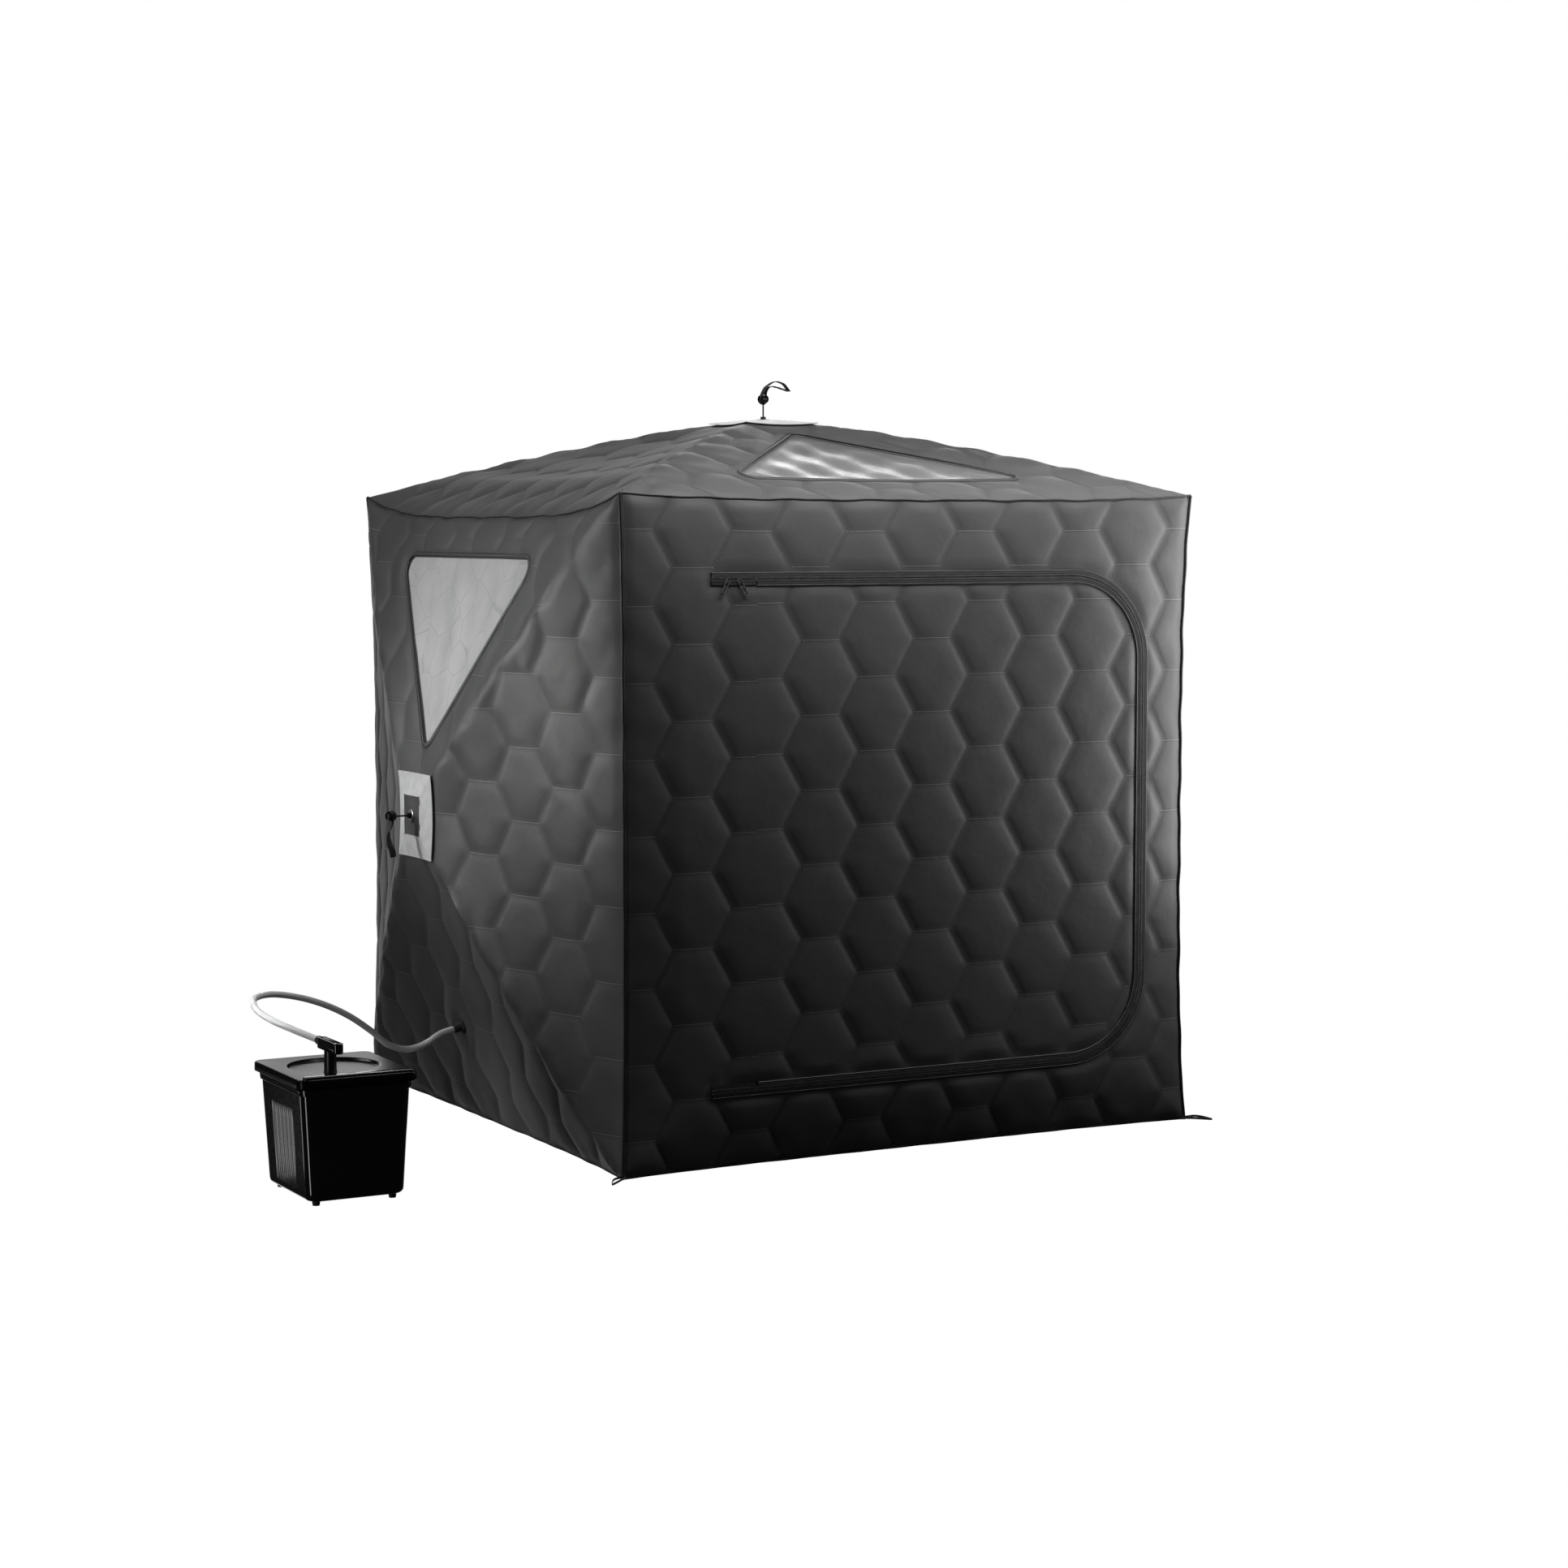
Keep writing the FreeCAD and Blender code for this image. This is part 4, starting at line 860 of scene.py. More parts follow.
def window_film(wall):
    """The clear film of a window, a little slack in its binding, in the plane of the cloth."""
    grown = corners_to_line([(WINDOW_TIP - 0.012, 0), (WINDOW_TOP + 0.008, WINDOW_SIDE + 0.011),
                             (WINDOW_TOP + 0.008, -WINDOW_SIDE - 0.011)], WINDOW_CORNER)
    points, faces = mesh_region(grown, [], (0, 0), 0.02)
    x, y = points[:, 0], points[:, 1]
    slack = np.clip(distance_to(points, grown) / 0.08, 0, 1)
    wave = 0.0022 * np.sin(x * 31 + y * 17) + 0.0018 * np.sin(y * 43 - x * 12 + 1.0)
    front = outward(points, wall, -0.0048 + wave * slack, x, y)
    back = outward(points, wall, -0.0060 + wave * slack, x, y)
    uv = np.stack([y, x], 1)
    film = two_skins(wall + "_film", front, back, faces, WALLS[wall][2], [wall + "_film"], uv)
    return finish_piece(film, None, [wall + "_window"], quarter_blend(wall, "up"))


# The lines sewn round a window: how far out, how thick, how high over the cloth, and in what.
WINDOW_LINES = {
    "band": (0.005, 0.0052, 0.0005, "quilt"), "bead": (0.0, 0.0019, 0.0022, "piping"),
    "seam": (0.0125, 0.0016, 0.0008, "piping"), "inner": (-0.003, 0.0016, -0.003, "edge"),
}


def window_binding(wall):
    """The stitched band and cords round a window."""
    lines = []
    for name, (grow, radius, depth, material) in WINDOW_LINES.items():
        tip, top, side = WINDOW_TIP - grow * 1.6, WINDOW_TOP + grow, WINDOW_SIDE + grow * 1.4
        ring = corners_to_line([(tip, 0), (top, side), (top, -side)], WINDOW_CORNER + grow, 9)
        ring = resample(ring, 0.012, closed=True)
        line = on_wall(wall, ring, depth)
        above = on_wall(wall, ring, depth + 0.01) - line
        flat = 0.55 if name == "band" else 1.0
        lines.append(tube("line", line, radius, material, sides=8, normals=above, closed=True, flat=flat))
    binding = join(wall + "_window_binding", lines)
    return finish_piece(binding, None, [], quarter_blend(wall, "up"))


POLES = {"a": (1, 1), "b": (1, -1), "c": (-1, 1), "d": (-1, -1)}
POLE_HUB, POLE_CORNER = (0.036 / math.sqrt(2), 0.188), (0.828, -0.032)  # how far out along x and y, how high
POLE_RADIUS, FERRULE_RADIUS, POLE_STEPS = 0.00475, 0.0062, 40
POLE_BOW = 0.55                         # the share of the wall's own bow that the pole takes
FERRULES = (0.32, 0.66)


def ridge_pole(wall, key):
    """A fibreglass rod that bows along a ridge, from its corner cup to the hub bracket."""
    x, y = POLES[key]
    node = f"{wall}_pole_{key}"
    matrix = wall_matrix(wall)
    runs, level = np.linspace(POLE_HUB, POLE_CORNER, POLE_STEPS).T
    share = np.linspace(0, 1, POLE_STEPS)
    bow = POLE_BOW * RIDGE_BOW * 4 * share * (1 - share)
    line = [matrix @ Vector((x * r, y * r, z)) for r, z in zip(runs, level + bow)]
    rod = tube(node + "_rod", line, POLE_RADIUS, "pole", sides=10)
    ferrule_at = [int(POLE_STEPS * k) for k in FERRULES]
    sleeves = [tube("ferrule", line[k - 1:k + 2], FERRULE_RADIUS, "steel", sides=12) for k in ferrule_at]
    rod = join(node + "_bowed", [rod, *sleeves])
    side = "up" if x > 0 else "down"
    return finish_piece(rod, None, [node], quarter_blend(wall, side))


def hub_plate(wall):
    """The rubbery square and the washer ring in the middle of the patch."""
    matrix = wall_matrix(wall)
    bm = bmesh.new()
    bmesh.ops.create_grid(bm, x_segments=10, y_segments=10, size=HUB_FLAT)
    for vertex in bm.verts:
        edge = HUB_FLAT - max(abs(vertex.co.x), abs(vertex.co.y))
        vertex.co.z = BULGE + PLATE_TOP - 0.0006 * math.exp(-(edge / 0.01)**2)
    made = bmesh.ops.extrude_face_region(bm, geom=bm.faces[:])
    lower = [item for item in made["geom"] if isinstance(item, bmesh.types.BMVert)]
    bmesh.ops.translate(bm, verts=lower, vec=(0, 0, -PLATE_TOP))
    plate = bevelled(from_bmesh(wall + "_plate", bm, "rubber_square", False, matrix), 0.0009, 2)
    stitches = []
    ring, _ = rounded_loop(HUB_FLAT - 0.006, HUB_FLAT - 0.006, 0.003, 2)
    ring = resample(ring, 0.0055, closed=True)
    for a, b in zip(ring[::2], ring[1::2]):
        way = (b - a) * 0.9
        rises = ((0, -0.0003), (0.3, 0.0004), (0.7, 0.0004), (1, -0.0003))
        line = [matrix @ Vector((*(a + way * t), BULGE + PLATE_TOP + h)) for t, h in rises]
        stitches.append(tube("stitch", line, 0.0004, "edge", sides=5))
    washer_line = [(0.0036, 0), (0.0036, 0.0032), (0.0185, 0.0032), (0.0193, 0.0024), (0.0195, 0.0)]
    top = matrix @ Matrix.Translation((0, 0, BULGE + PLATE_TOP))
    washer = disc_profile("washer", washer_line, "washer", 40, top)
    plate = join(wall + "_hub_square", [plate, *stitches, washer])
    return finish_piece(plate, wall + "_hub", [wall + "_hub_patch"])


PIN_RADIUS = 0.0072
WEBBING = [(-0.0098, -0.0006), (-0.0092, -0.001), (0.0092, -0.001), (0.0098, -0.0006), (0.0098, 0.0006),
           (0.0092, 0.001), (-0.0092, 0.001), (-0.0098, 0.0006)]
# A strap's middle line from its pin (out of the loop, up), half the gap between its two runs, and its twist.
HANGING = ([(0, 0), (-0.026, 0.001), (-0.052, 0.006), (-0.078, 0.004), (-0.100, -0.004), (-0.112, -0.006)],
           [PIN_RADIUS, 0.0038, 0.0018, 0.0018, 0.0020, 0.0012], math.radians(72))
ARCHED = ([(0, 0), (-0.002, 0.016), (-0.012, 0.034), (-0.034, 0.044), (-0.060, 0.040), (-0.084, 0.026)],
          [PIN_RADIUS, 0.004, 0.003, 0.0085, 0.0080, 0.0012], 0)


def strap_line(way, gaps, twist):
    """The webbing's run round the pin, out and back, and the way across it at each point."""
    centre = smooth_route([(x, 0, z) for x, z in way], 0.003)
    share = np.linspace(0, 1, len(centre))
    gap = np.interp(share, np.linspace(0, 1, len(gaps)), gaps)[:, None]
    along = np.gradient(centre, axis=0)
    along /= np.linalg.norm(along, axis=1)[:, None]
    turn = twist * ease(share)[:, None]
    level = np.array((0, 1.0, 0))
    over = np.cross(level, along)
    face = over * np.cos(turn) + level * np.sin(turn)
    across = level * np.cos(turn) - over * np.sin(turn)
    turns = np.radians((-60, -30, 0, 30, 60))
    round_pin = np.stack([PIN_RADIUS * np.cos(turns), 0 * turns, PIN_RADIUS * np.sin(turns)], 1)
    upper, lower = centre + face * gap, centre - face * gap
    if upper[1][2] < lower[1][2]:
        upper, lower = lower, upper
    tip = centre[-1] + along[-1] * 0.003
    line = np.vstack([round_pin, upper, [tip], lower[::-1]])
    return line, np.vstack([np.tile(level, (len(turns), 1)), across, across[-1:], across[::-1]])


def pull_strap(wall):
    """A webbing loop round the ball's pin. On a wall it hangs and turns; on the roof it arcs up and opens."""
    place = wall_matrix(wall) @ Matrix.Translation((0, 0, BULGE + PLATE_TOP + STEM_HIGH))
    if wall == "roof":
        place = place @ Matrix.Rotation(math.radians(-90), 4, "Z")
    line, widths = strap_line(*(ARCHED if wall == "roof" else HANGING))
    widths = np.array([place.to_3x3() @ Vector(way) for way in widths])
    points = np.array([place @ Vector(point) for point in line])
    strap = tube(wall + "_strap_loop", points, 1.0, "webbing", normals=widths, closed=True, section=WEBBING)
    return finish_piece(strap, wall + "_strap", [wall + "_pull_strap"])


for wall in HUB_WALLS:
    for key in QUARTERS:
        hub_quarter(wall, key)
        hub_patch(wall, key)
    for key in "abcd":
        ridge_pole(wall, key)
    hub_plate(wall)
    pull_strap(wall)
for wall in ("left", "roof"):
    window_film(wall)
    window_binding(wall)


# Front wall, door and zip -------------------------------------------------------------------------

FOLD = -0.5
FOLD_EASE = 0.07                        # how far each side of the fold the two quiltings ease together
ZIP_TOP, ZIP_FOOT, ZIP_SIDE, ZIP_START, ZIP_CORNER = 1.575, 0.21, 0.738, -0.636, 0.235
ZIP_HALF = (ZIP_TOP - ZIP_FOOT) / 2
TAPE_WIDE, TAPE_THICK = 0.0155, 0.0022
TEETH_GAP, COIL_OUT, COIL_WIDE = 0.0008, 0.0037, 0.0052
TAPE_DEPTH = 0.0045                     # how far the tapes' outer face stands off the wall plane
DOOR_BLEND = ("tent", "door", (FOLD, -HALF, HIGH / 2), (FOLD + 0.08, -HALF, HIGH / 2))


def on_front(line):
    """Row-frame (X, Z) points as the front wall's own (up, across)."""
    line = np.asarray(line, float)
    return np.stack([line[:, 1] - HIGH / 2, -line[:, 0]], 1)


def doorway(offset, start):
    """The zip's three-sided run moved out by an offset, from its top left end to its bottom left end."""
    top, foot, side, corner = ZIP_TOP + offset, ZIP_FOOT - offset, ZIP_SIDE + offset, ZIP_CORNER + offset
    turns = np.radians(np.arange(90, -1, -6))
    across, up = side - corner + corner * np.cos(turns), corner * np.sin(turns)
    upper = np.stack([across, top - corner + up], 1)
    lower = np.stack([across, foot + corner - up], 1)[::-1]
    return np.vstack([[(start, top)], upper, lower, [(start, foot)]])


def fold_quilting(x, y, wall_side):
    """The wall's quilting easing into the door's, across the unsewn fold that joins them."""
    share = ease((-y - FOLD) / (2 * FOLD_EASE) + 0.5)
    if wall_side:
        share = np.where((abs(x) < ZIP_HALF) & (-y <= FOLD + 0.0001), share, 0)
    return (1 - share) * puff(x, y, seam_phase("front")) + share * puff(x, y, seam_phase("door"))


def front_wall():
    """The quilted front, open where the door and the zip are."""
    low, high = ZIP_FOOT + TAPE_WIDE, ZIP_TOP - TAPE_WIDE
    opening = doorway(TAPE_WIDE, ZIP_START)
    hole = on_front(np.vstack([opening, [(ZIP_START, low), (FOLD, low), (FOLD, high), (ZIP_START, high)]]))
    square = np.array([(1, 1), (1, -1), (-1, -1), (-1, 1)]) * HALF
    sewn = on_front(np.vstack([opening, opening[::-1]]))
    stubs = [on_front([(ZIP_START, z), (FOLD, z)]) for z in (high, low)]

    def free(points):
        """How far each point is from the hem and from the zip."""
        near = HALF - np.maximum(abs(points[:, 0]), abs(points[:, 1]))
        for line in (sewn, *stubs):
            near = np.minimum(near, distance_to(points, line))
        return near

    piece = cloth_piece("front_cloth", "front", square, [hole], seam_phase("front"), free,
                        lambda x, y: fold_quilting(x, y, True))
    return finish_piece(piece, "tent", ["front_wall"])


def door_panel():
    """The quilted door, which joins the wall along its unsewn fold."""
    outline = on_front(doorway(-TAPE_WIDE, FOLD))
    sewn = on_front(doorway(-TAPE_WIDE, FOLD - 0.5))
    piece = cloth_piece("door_cloth", "front", outline, [], seam_phase("door"),
                        lambda points: distance_to(points, sewn), lambda x, y: fold_quilting(x, y, False))
    return finish_piece(piece, None, ["door_panel"], DOOR_BLEND)


def flat_band(name, inner, outer, depth_low, depth_high, material):
    """A thin flat band between two (X, Z) lines with as many points, lying on the front wall."""
    depths = (depth_low, depth_low, depth_high, depth_high)
    points = np.array([[(x, -HALF - depth, z) for x, z in line]
                       for line, depth in zip((inner, outer, outer, inner), depths)])
    over = np.tile([0, TAPE_WIDE, TAPE_WIDE, 0], len(inner))
    uv = np.stack([over, np.repeat(run_along(inner), 4)], 1)
    points = points.transpose(1, 0, 2).reshape(-1, 3)
    return face_out(new_piece(name, points, skin_faces(len(inner), 4), [material], uv, smooth=False))


def zip_run(start, spacing, end=math.inf):
    """Points along the zip, as far as an end, with the way along it and the way to its side at each."""
    centre = resample(doorway(0, start), spacing)
    centre = centre[centre[:, 0] <= end]
    tangent = np.gradient(centre, axis=0)
    tangent /= np.linalg.norm(tangent, axis=1)[:, None]
    return centre, tangent, np.stack([-tangent[:, 1], tangent[:, 0]], 1)


def zip_lines(start, *offsets):
    """Lines along the zip at some offsets from its middle."""
    centre, _, side = zip_run(start, 0.012)
    return [centre + side * offset for offset in offsets]


# A tooth's outline across the zip: how far along it, how high and how much of its full width.
TOOTH, TOOTH_LONG = ((-1, 0, 1), (-0.5, 0.0014, 0.96), (0.5, 0.0014, 0.96), (1, 0, 1)), 0.0013
TOOTH_FACES = np.array([(0, 2, 3, 1), (2, 4, 5, 3), (4, 6, 7, 5), (0, 1, 7, 6), (0, 6, 4, 2), (1, 3, 5, 7)])


def coil(offset, start, end=math.inf):
    """A row of coil teeth along the zip, on one side of its middle."""
    points, faces = [], []
    for at, way, out in zip(*zip_run(start, 0.0040, end)):
        faces.extend(TOOTH_FACES + len(points))
        for s, high, reach in TOOTH:
            for edge in (-COIL_WIDE / 2, COIL_WIDE / 2):
                spot = at + way * TOOTH_LONG * s + out * (offset + edge * reach)
                points.append((spot[0], -HALF - TAPE_DEPTH - high, spot[1]))
    return new_piece("coil", points, faces, ["coil"], np.array([(p[0], p[2]) for p in points]), smooth=False)


SEAM_OUT, SEAM_THICK = (0.0096, 0.0104), 0.0005         # where the tape's row of stitching lies
CORD_RADIUS, CORD_SINK = 0.0012, 0.0008


def tape_side(side, start):
    """One tape's band, its coil, the cord sewn along its edge and its row of stitching."""
    band = zip_lines(start, *sorted((side * TEETH_GAP, side * TAPE_WIDE)))
    seam = zip_lines(start, *sorted(side * out for out in SEAM_OUT))
    cord = [(x, -HALF - TAPE_DEPTH + CORD_SINK, z)
            for x, z in zip_lines(start, side * (TAPE_WIDE + CORD_RADIUS))[0]]
    return [flat_band("tape", *band, TAPE_DEPTH - TAPE_THICK, TAPE_DEPTH, "tape"),
            coil(side * COIL_OUT, start),
            tube("cord", cord, CORD_RADIUS, "edge", sides=6),
            flat_band("seam", *seam, TAPE_DEPTH, TAPE_DEPTH + SEAM_THICK, "coil")]


def zip_line():
    """Both tapes. Past the fold, the door's tape is a stub that stays with the wall."""
    fixed = [line[line[:, 0] <= FOLD] for line in zip_lines(ZIP_START, -TAPE_WIDE, -TEETH_GAP)]
    stubs = []
    for above in (1, -1):
        low, high = [line[np.sign(line[:, 1] - HIGH / 2) == above] for line in fixed]
        stubs.append(flat_band("stub", low, high, TAPE_DEPTH - TAPE_THICK, TAPE_DEPTH, "tape"))
    stubs.append(coil(-COIL_OUT, ZIP_START, FOLD))
    wall_side = join("zip_wall_side", [*tape_side(1, ZIP_START), *stubs])
    finish_piece(wall_side, "tent", ["zip_tape_wall"])
    door_side = join("zip_door_side", tape_side(-1, FOLD))
    return finish_piece(door_side, None, ["zip_tape_door"], DOOR_BLEND)


TAB_LONG, TAB_HALF, TAB_THICK = 0.048, 0.0060, 0.0014
TAB_DEPTH, TAB_LEAN, TAB_SPLAY = -0.9064, 8, 28
TAB_PLACES = (("a", -0.587, TAB_SPLAY), ("b", -0.557, -TAB_SPLAY))
# The raised rims on a tab: half its width and length, how far down it lies, and how thick it is.
TAB_RIMS = [(0.0053, 0.0233, -0.0233, 0.00055), (0.0026, 0.0036, -0.0062, 0.0005),
            (0.0026, 0.0105, -0.031, 0.00045)]


def pull_tab(key, x, splay):
    """A pull tab with raised rims, hanging from its slider and leaning on the cloth."""
    outline, _ = rounded_loop(TAB_HALF, TAB_LONG / 2, 0.0024, 4)
    middle = (TAB_THICK - TAB_LONG) / 2
    rings = [np.column_stack([outline[:, 0], outline[:, 1] + middle, np.full(len(outline), z)])
             for z in (-TAB_THICK / 2, TAB_THICK / 2)]
    pieces = [loft("blade", rings, "tab")]
    for half_x, half_y, down, thick in TAB_RIMS:
        rim, _ = rounded_loop(half_x, half_y, 0.0018, 4)
        line = np.column_stack([rim[:, 0], rim[:, 1] + down, np.full(len(rim), 0.0008)])
        pieces.append(tube("rim", line, thick, "edge", sides=6, closed=True))
    blade = join("pull_tab_blade_" + key, pieces)
    splayed = Matrix.Rotation(math.radians(splay), 4, "Y")
    lean = Matrix.Rotation(math.radians(90 - TAB_LEAN), 4, "X")
    blade.data.transform(Matrix.Translation((x, TAB_DEPTH, ZIP_TOP - 0.0005)) @ splayed @ lean)
    return finish_piece(blade, "tab_" + key, ["pull_tab_" + key])


front_wall()
door_panel()
zip_line()
for tab in TAB_PLACES:
    pull_tab(*tab)


# Hems, mat and corners ----------------------------------------------------------------------------

UPRIGHT_RADIUS, UPRIGHT_OUT = 0.0042, 0.0015            # the piping on the upright edges
WELT_RADIUS, WELT_BACK, WELT_OUT = 0.0011, 0.0065, 0.0014       # the fine welts on both its sides
TOP_RADIUS, TOP_OUT = 0.0028, 0.0012
FOOT_STEP, FOOT_UP, FOOT_OUT, FOOT_WAVE, FOOT_TURNS = 0.015, 0.0095, 0.0018, 0.0006, 37
BINDING = [(-0.009, -0.0008), (-0.009, 0.0016), (0.0, 0.0024), (0.0095, 0.0016), (0.0095, -0.0008)]


def hem_line(wall, a, b, spacing=0.02):
    """A line along one of a wall's hems, from corner to corner."""
    return on_wall(wall, resample(np.array([a, b], float) * HALF, spacing))


def upright_hem(wall, y):
    """The piping and the two welts on an upright edge of the front or the back."""
    line = hem_line(wall, (-1, y), (1, y))
    ahead, beside = np.array(WALLS[wall][2]), y * np.array(WALLS[wall][1])
    out = (ahead + beside) / np.linalg.norm(ahead + beside)
    welts = [tube("welt", line - back * WELT_BACK + over * WELT_OUT, WELT_RADIUS, "edge", sides=6)
             for back, over in ((beside, ahead), (ahead, beside))]
    return [tube("upright", line + out * UPRIGHT_OUT, UPRIGHT_RADIUS, "piping", sides=10), *welts]


def top_hem(wall):
    """The piping along a wall's top edge."""
    line = hem_line(wall, (1, -1), (1, 1)) + (np.array(WALLS[wall][2]) + (0, 0, 1)) * TOP_OUT
    return tube("top", line, TOP_RADIUS, "piping", sides=8)


def foot_hem(wall):
    """The folded binding along a wall's bottom edge."""
    line = hem_line(wall, (-1, -1), (-1, 1), FOOT_STEP)
    run = resample(np.array([(-HALF, 0), (HALF, 0)]), FOOT_STEP)[:, :1]
    wave = FOOT_OUT + FOOT_WAVE * np.sin(run * FOOT_TURNS)
    line = line + np.array(WALLS[wall][2]) * wave + (0, 0, FOOT_UP)
    up = np.tile((0, 0, 1.0), (len(line), 1))
    return tube("foot", line, 1.0, "tape", normals=up, section=BINDING)


def hems():
    """The piping and the binding that close the tent's edges."""
    pieces = [each for wall in ("front", "back") for y in (1, -1) for each in upright_hem(wall, y)]
    sides = ("front", "left", "right", "back")
    piping = join("hem_piping", pieces + [top_hem(wall) for wall in sides])
    finish_piece(piping, "tent")
    binding = join("hem_binding", [foot_hem(wall) for wall in sides])
    return finish_piece(binding, "tent")


MAT_PHASE, MAT_INSET = (0.03, 0.02), 0.0155


def floor_mat():
    """A thin quilted mat whose edges follow the bottom hems."""
    half = HALF - MAT_INSET
    square = np.array([(1, 1), (-1, 1), (-1, -1), (1, -1)]) * half
    points, faces = mesh_region(square, [], MAT_PHASE, HEX_SIDE / 5)
    x, y = points[:, 0], points[:, 1]
    reach = np.maximum(abs(x), abs(y))
    edge = np.minimum(1, (half - reach) / SEWN_FLAT)
    along = np.where(abs(x) > abs(y), y, x) / np.maximum(reach, ROUGH_GAP)
    pull = FOOT_BOW * (reach / HALF)**6 * (1 - along**4)
    px = x - np.where(abs(x) >= abs(y), np.sign(x), 0) * pull
    py = y - np.where(abs(y) > abs(x), np.sign(y), 0) * pull
    top = MAT_TOP - 0.0045 + 0.6 * puff(x, y, MAT_PHASE) * edge
    low = np.full_like(top, 0.0008)
    uv = np.stack([y - MAT_PHASE[0], x - MAT_PHASE[1]], 1)
    piece = two_skins("mat_cloth", np.stack([px, py, top], 1), np.stack([px, py, low], 1), faces, (0, 0, 1),
                      ["mat"], uv)
    return finish_piece(piece, "tent", ["floor_mat"])


LOOP_LONG, LOOP_APART, LOOP_UP, LOOP_WAVE = 0.086, 0.0125, 0.0055, 0.004
ELASTIC = [(-0.0030, -0.0006), (0.0030, -0.0006), (0.0032, 0.0), (0.0030, 0.0006), (-0.0030, 0.0006),
           (-0.0032, 0.0)]


def stake_loop(x, y):
    """An elastic loop on the mat's corner that a peg goes through."""
    start = Vector((x * (HALF - 0.004), y * (HALF - 0.004)))
    way = Vector((x, y)).normalized()
    side = Vector((-way.y, way.x))
    half = []
    for t in np.linspace(0, 1, 17):
        apart = LOOP_APART * math.sin(math.pi * min(1.0, t * 0.9 + 0.1))**0.8 * (1 - 0.25 * t)
        half.append((LOOP_LONG * t, apart + 0.0008))
    tip = (LOOP_LONG + 0.0025, 0.0)
    points = []
    for a, b in [*half, tip, *[(a, -b) for a, b in half[::-1]]]:
        spot = start + way * a + side * b
        rise = LOOP_WAVE * math.sin(a * 40) * (1 if b > 0 else 0.4) * min(1, a / 0.03)
        points.append((spot.x, spot.y, LOOP_UP + rise))
    line = resample(points, 0.004)
    return tube("loop", line, 1.0, "elastic", normals=np.tile((0, 0, 1.0), (len(line), 1)), section=ELASTIC)


hems()
floor_mat()
loops = join("stake_loop_set", [stake_loop(x, y) for x in (1, -1) for y in (1, -1)])
finish_piece(loops, "tent", ["stake_loops"])

# Steamer ------------------------------------------------------------------------------------------

STEAMER = Vector(((TANK_LOW.x + TANK_HIGH.x) / 2, -0.682, 0))
DISH_MIDDLE, DISH_RADIUS = (0.0, 0.012), 0.118
DISH_FLOOR = OUTLET_LOW.z               # where the outlet's post stands
POST_Y = -0.757
FLUTES, FLUTE_DEPTH, FLUTE_REACH = 15, 0.0011, 0.56     # FLUTE_REACH is a share of the side's half length
FOOT_HALF, RIM_GROWTH = (0.131, 0.159), (0.016, 0.008)  # the tank's half sizes at its foot, and how they grow
TANK_CORNER, INNER_CORNER, LID_CORNER = 0.026, 0.022, 0.028
LID_STEPS = 16


def side_loop(half_x, half_y, radius, per_side=90):
    """A rounded rectangle with many points on its straight sides, and where on a side each one is."""
    corner, _ = rounded_loop(half_x, half_y, radius, 8)
    corner = corner.reshape(4, 9, 2)
    points, place = [], []
    for k in range(4):
        points.extend(corner[k])
        place.extend([2.0] * 9)
        a, b = corner[k][-1], corner[(k + 1) % 4][0]
        for i in range(1, per_side):
            points.append(a + (b - a) * i / per_side)
            place.append(2 * i / per_side - 1)
    return np.array(points), np.array(place)


def tank_ring(z, inset, fluted, radius=TANK_CORNER):
    """One level of the tapered tank, at a height over its underside."""
    share = z / (TANK_HIGH.z - TANK_LOW.z)
    x, y = (foot + growth * share - inset for foot, growth in zip(FOOT_HALF, RIM_GROWTH))
    loop, place = side_loop(x, y, radius)
    if fluted:
        body = np.clip((0.80 - share) / 0.10, 0, 1) * np.clip((share - 0.02) / 0.45, 0, 1)**0.8
        along = np.clip((place + FLUTE_REACH) / (2 * FLUTE_REACH), 0, 1)
        wave = 0.5 - 0.5 * np.cos(along * 2 * math.pi * FLUTES)
        depth = FLUTE_DEPTH * body * np.where(place < 1.5, wave, 0)
        out = np.sign(loop) * (abs(loop) > np.array([x, y]) - 1e-6)
        loop = loop - out * depth[:, None]
    return np.column_stack([loop, np.full(len(loop), TANK_LOW.z + z)])


def tank():
    """The tapered tank: rounded foot, shallow flutes on the middle of each side, a step and a rim."""
    top = TANK_HIGH.z - TANK_LOW.z
    foot = [(0.0, 0.012), (0.0012, 0.0075), (0.0045, 0.003), (0.010, 0.0005), (0.016, 0.0)]
    neck = [(0.0185, 0.0), (0.0175, -0.0032), (0.0165, -0.0042), (0.0020, -0.0046), (0.0006, -0.0040),
            (0, -0.0026), (0, 0.0035)]
    rings = [tank_ring(z, inset, False) for z, inset in foot]
    rings += [tank_ring(z, 0.0, True) for z in np.linspace(0.024, top - 0.020, 26)]
    rings += [tank_ring(top - down, inset, False) for down, inset in neck]
    inner = [(top - 0.004, 0.0045), (0.012, 0.0045), (0.006, 0.009), (0.004, 0.016)]
    rings += [tank_ring(z, inset, False, INNER_CORNER) for z, inset in inner]
    piece = loft("tank", rings, "gloss", matrix=Matrix.Translation(STEAMER))
    return finish_piece(piece, "tent", ["steamer_body"])


def stacked_loops(half_x, half_y, radius, levels, steps=8, shrink=1.0):
    """Rings of a rounded rectangle, one for each (inset, height). Its corners lose shrink times the inset."""
    rings = []
    for inset, z in levels:
        loop, _ = rounded_loop(half_x - inset, half_y - inset, radius - inset * shrink, steps)
        rings.append(np.column_stack([loop, np.full(len(loop), z)]))
    return rings


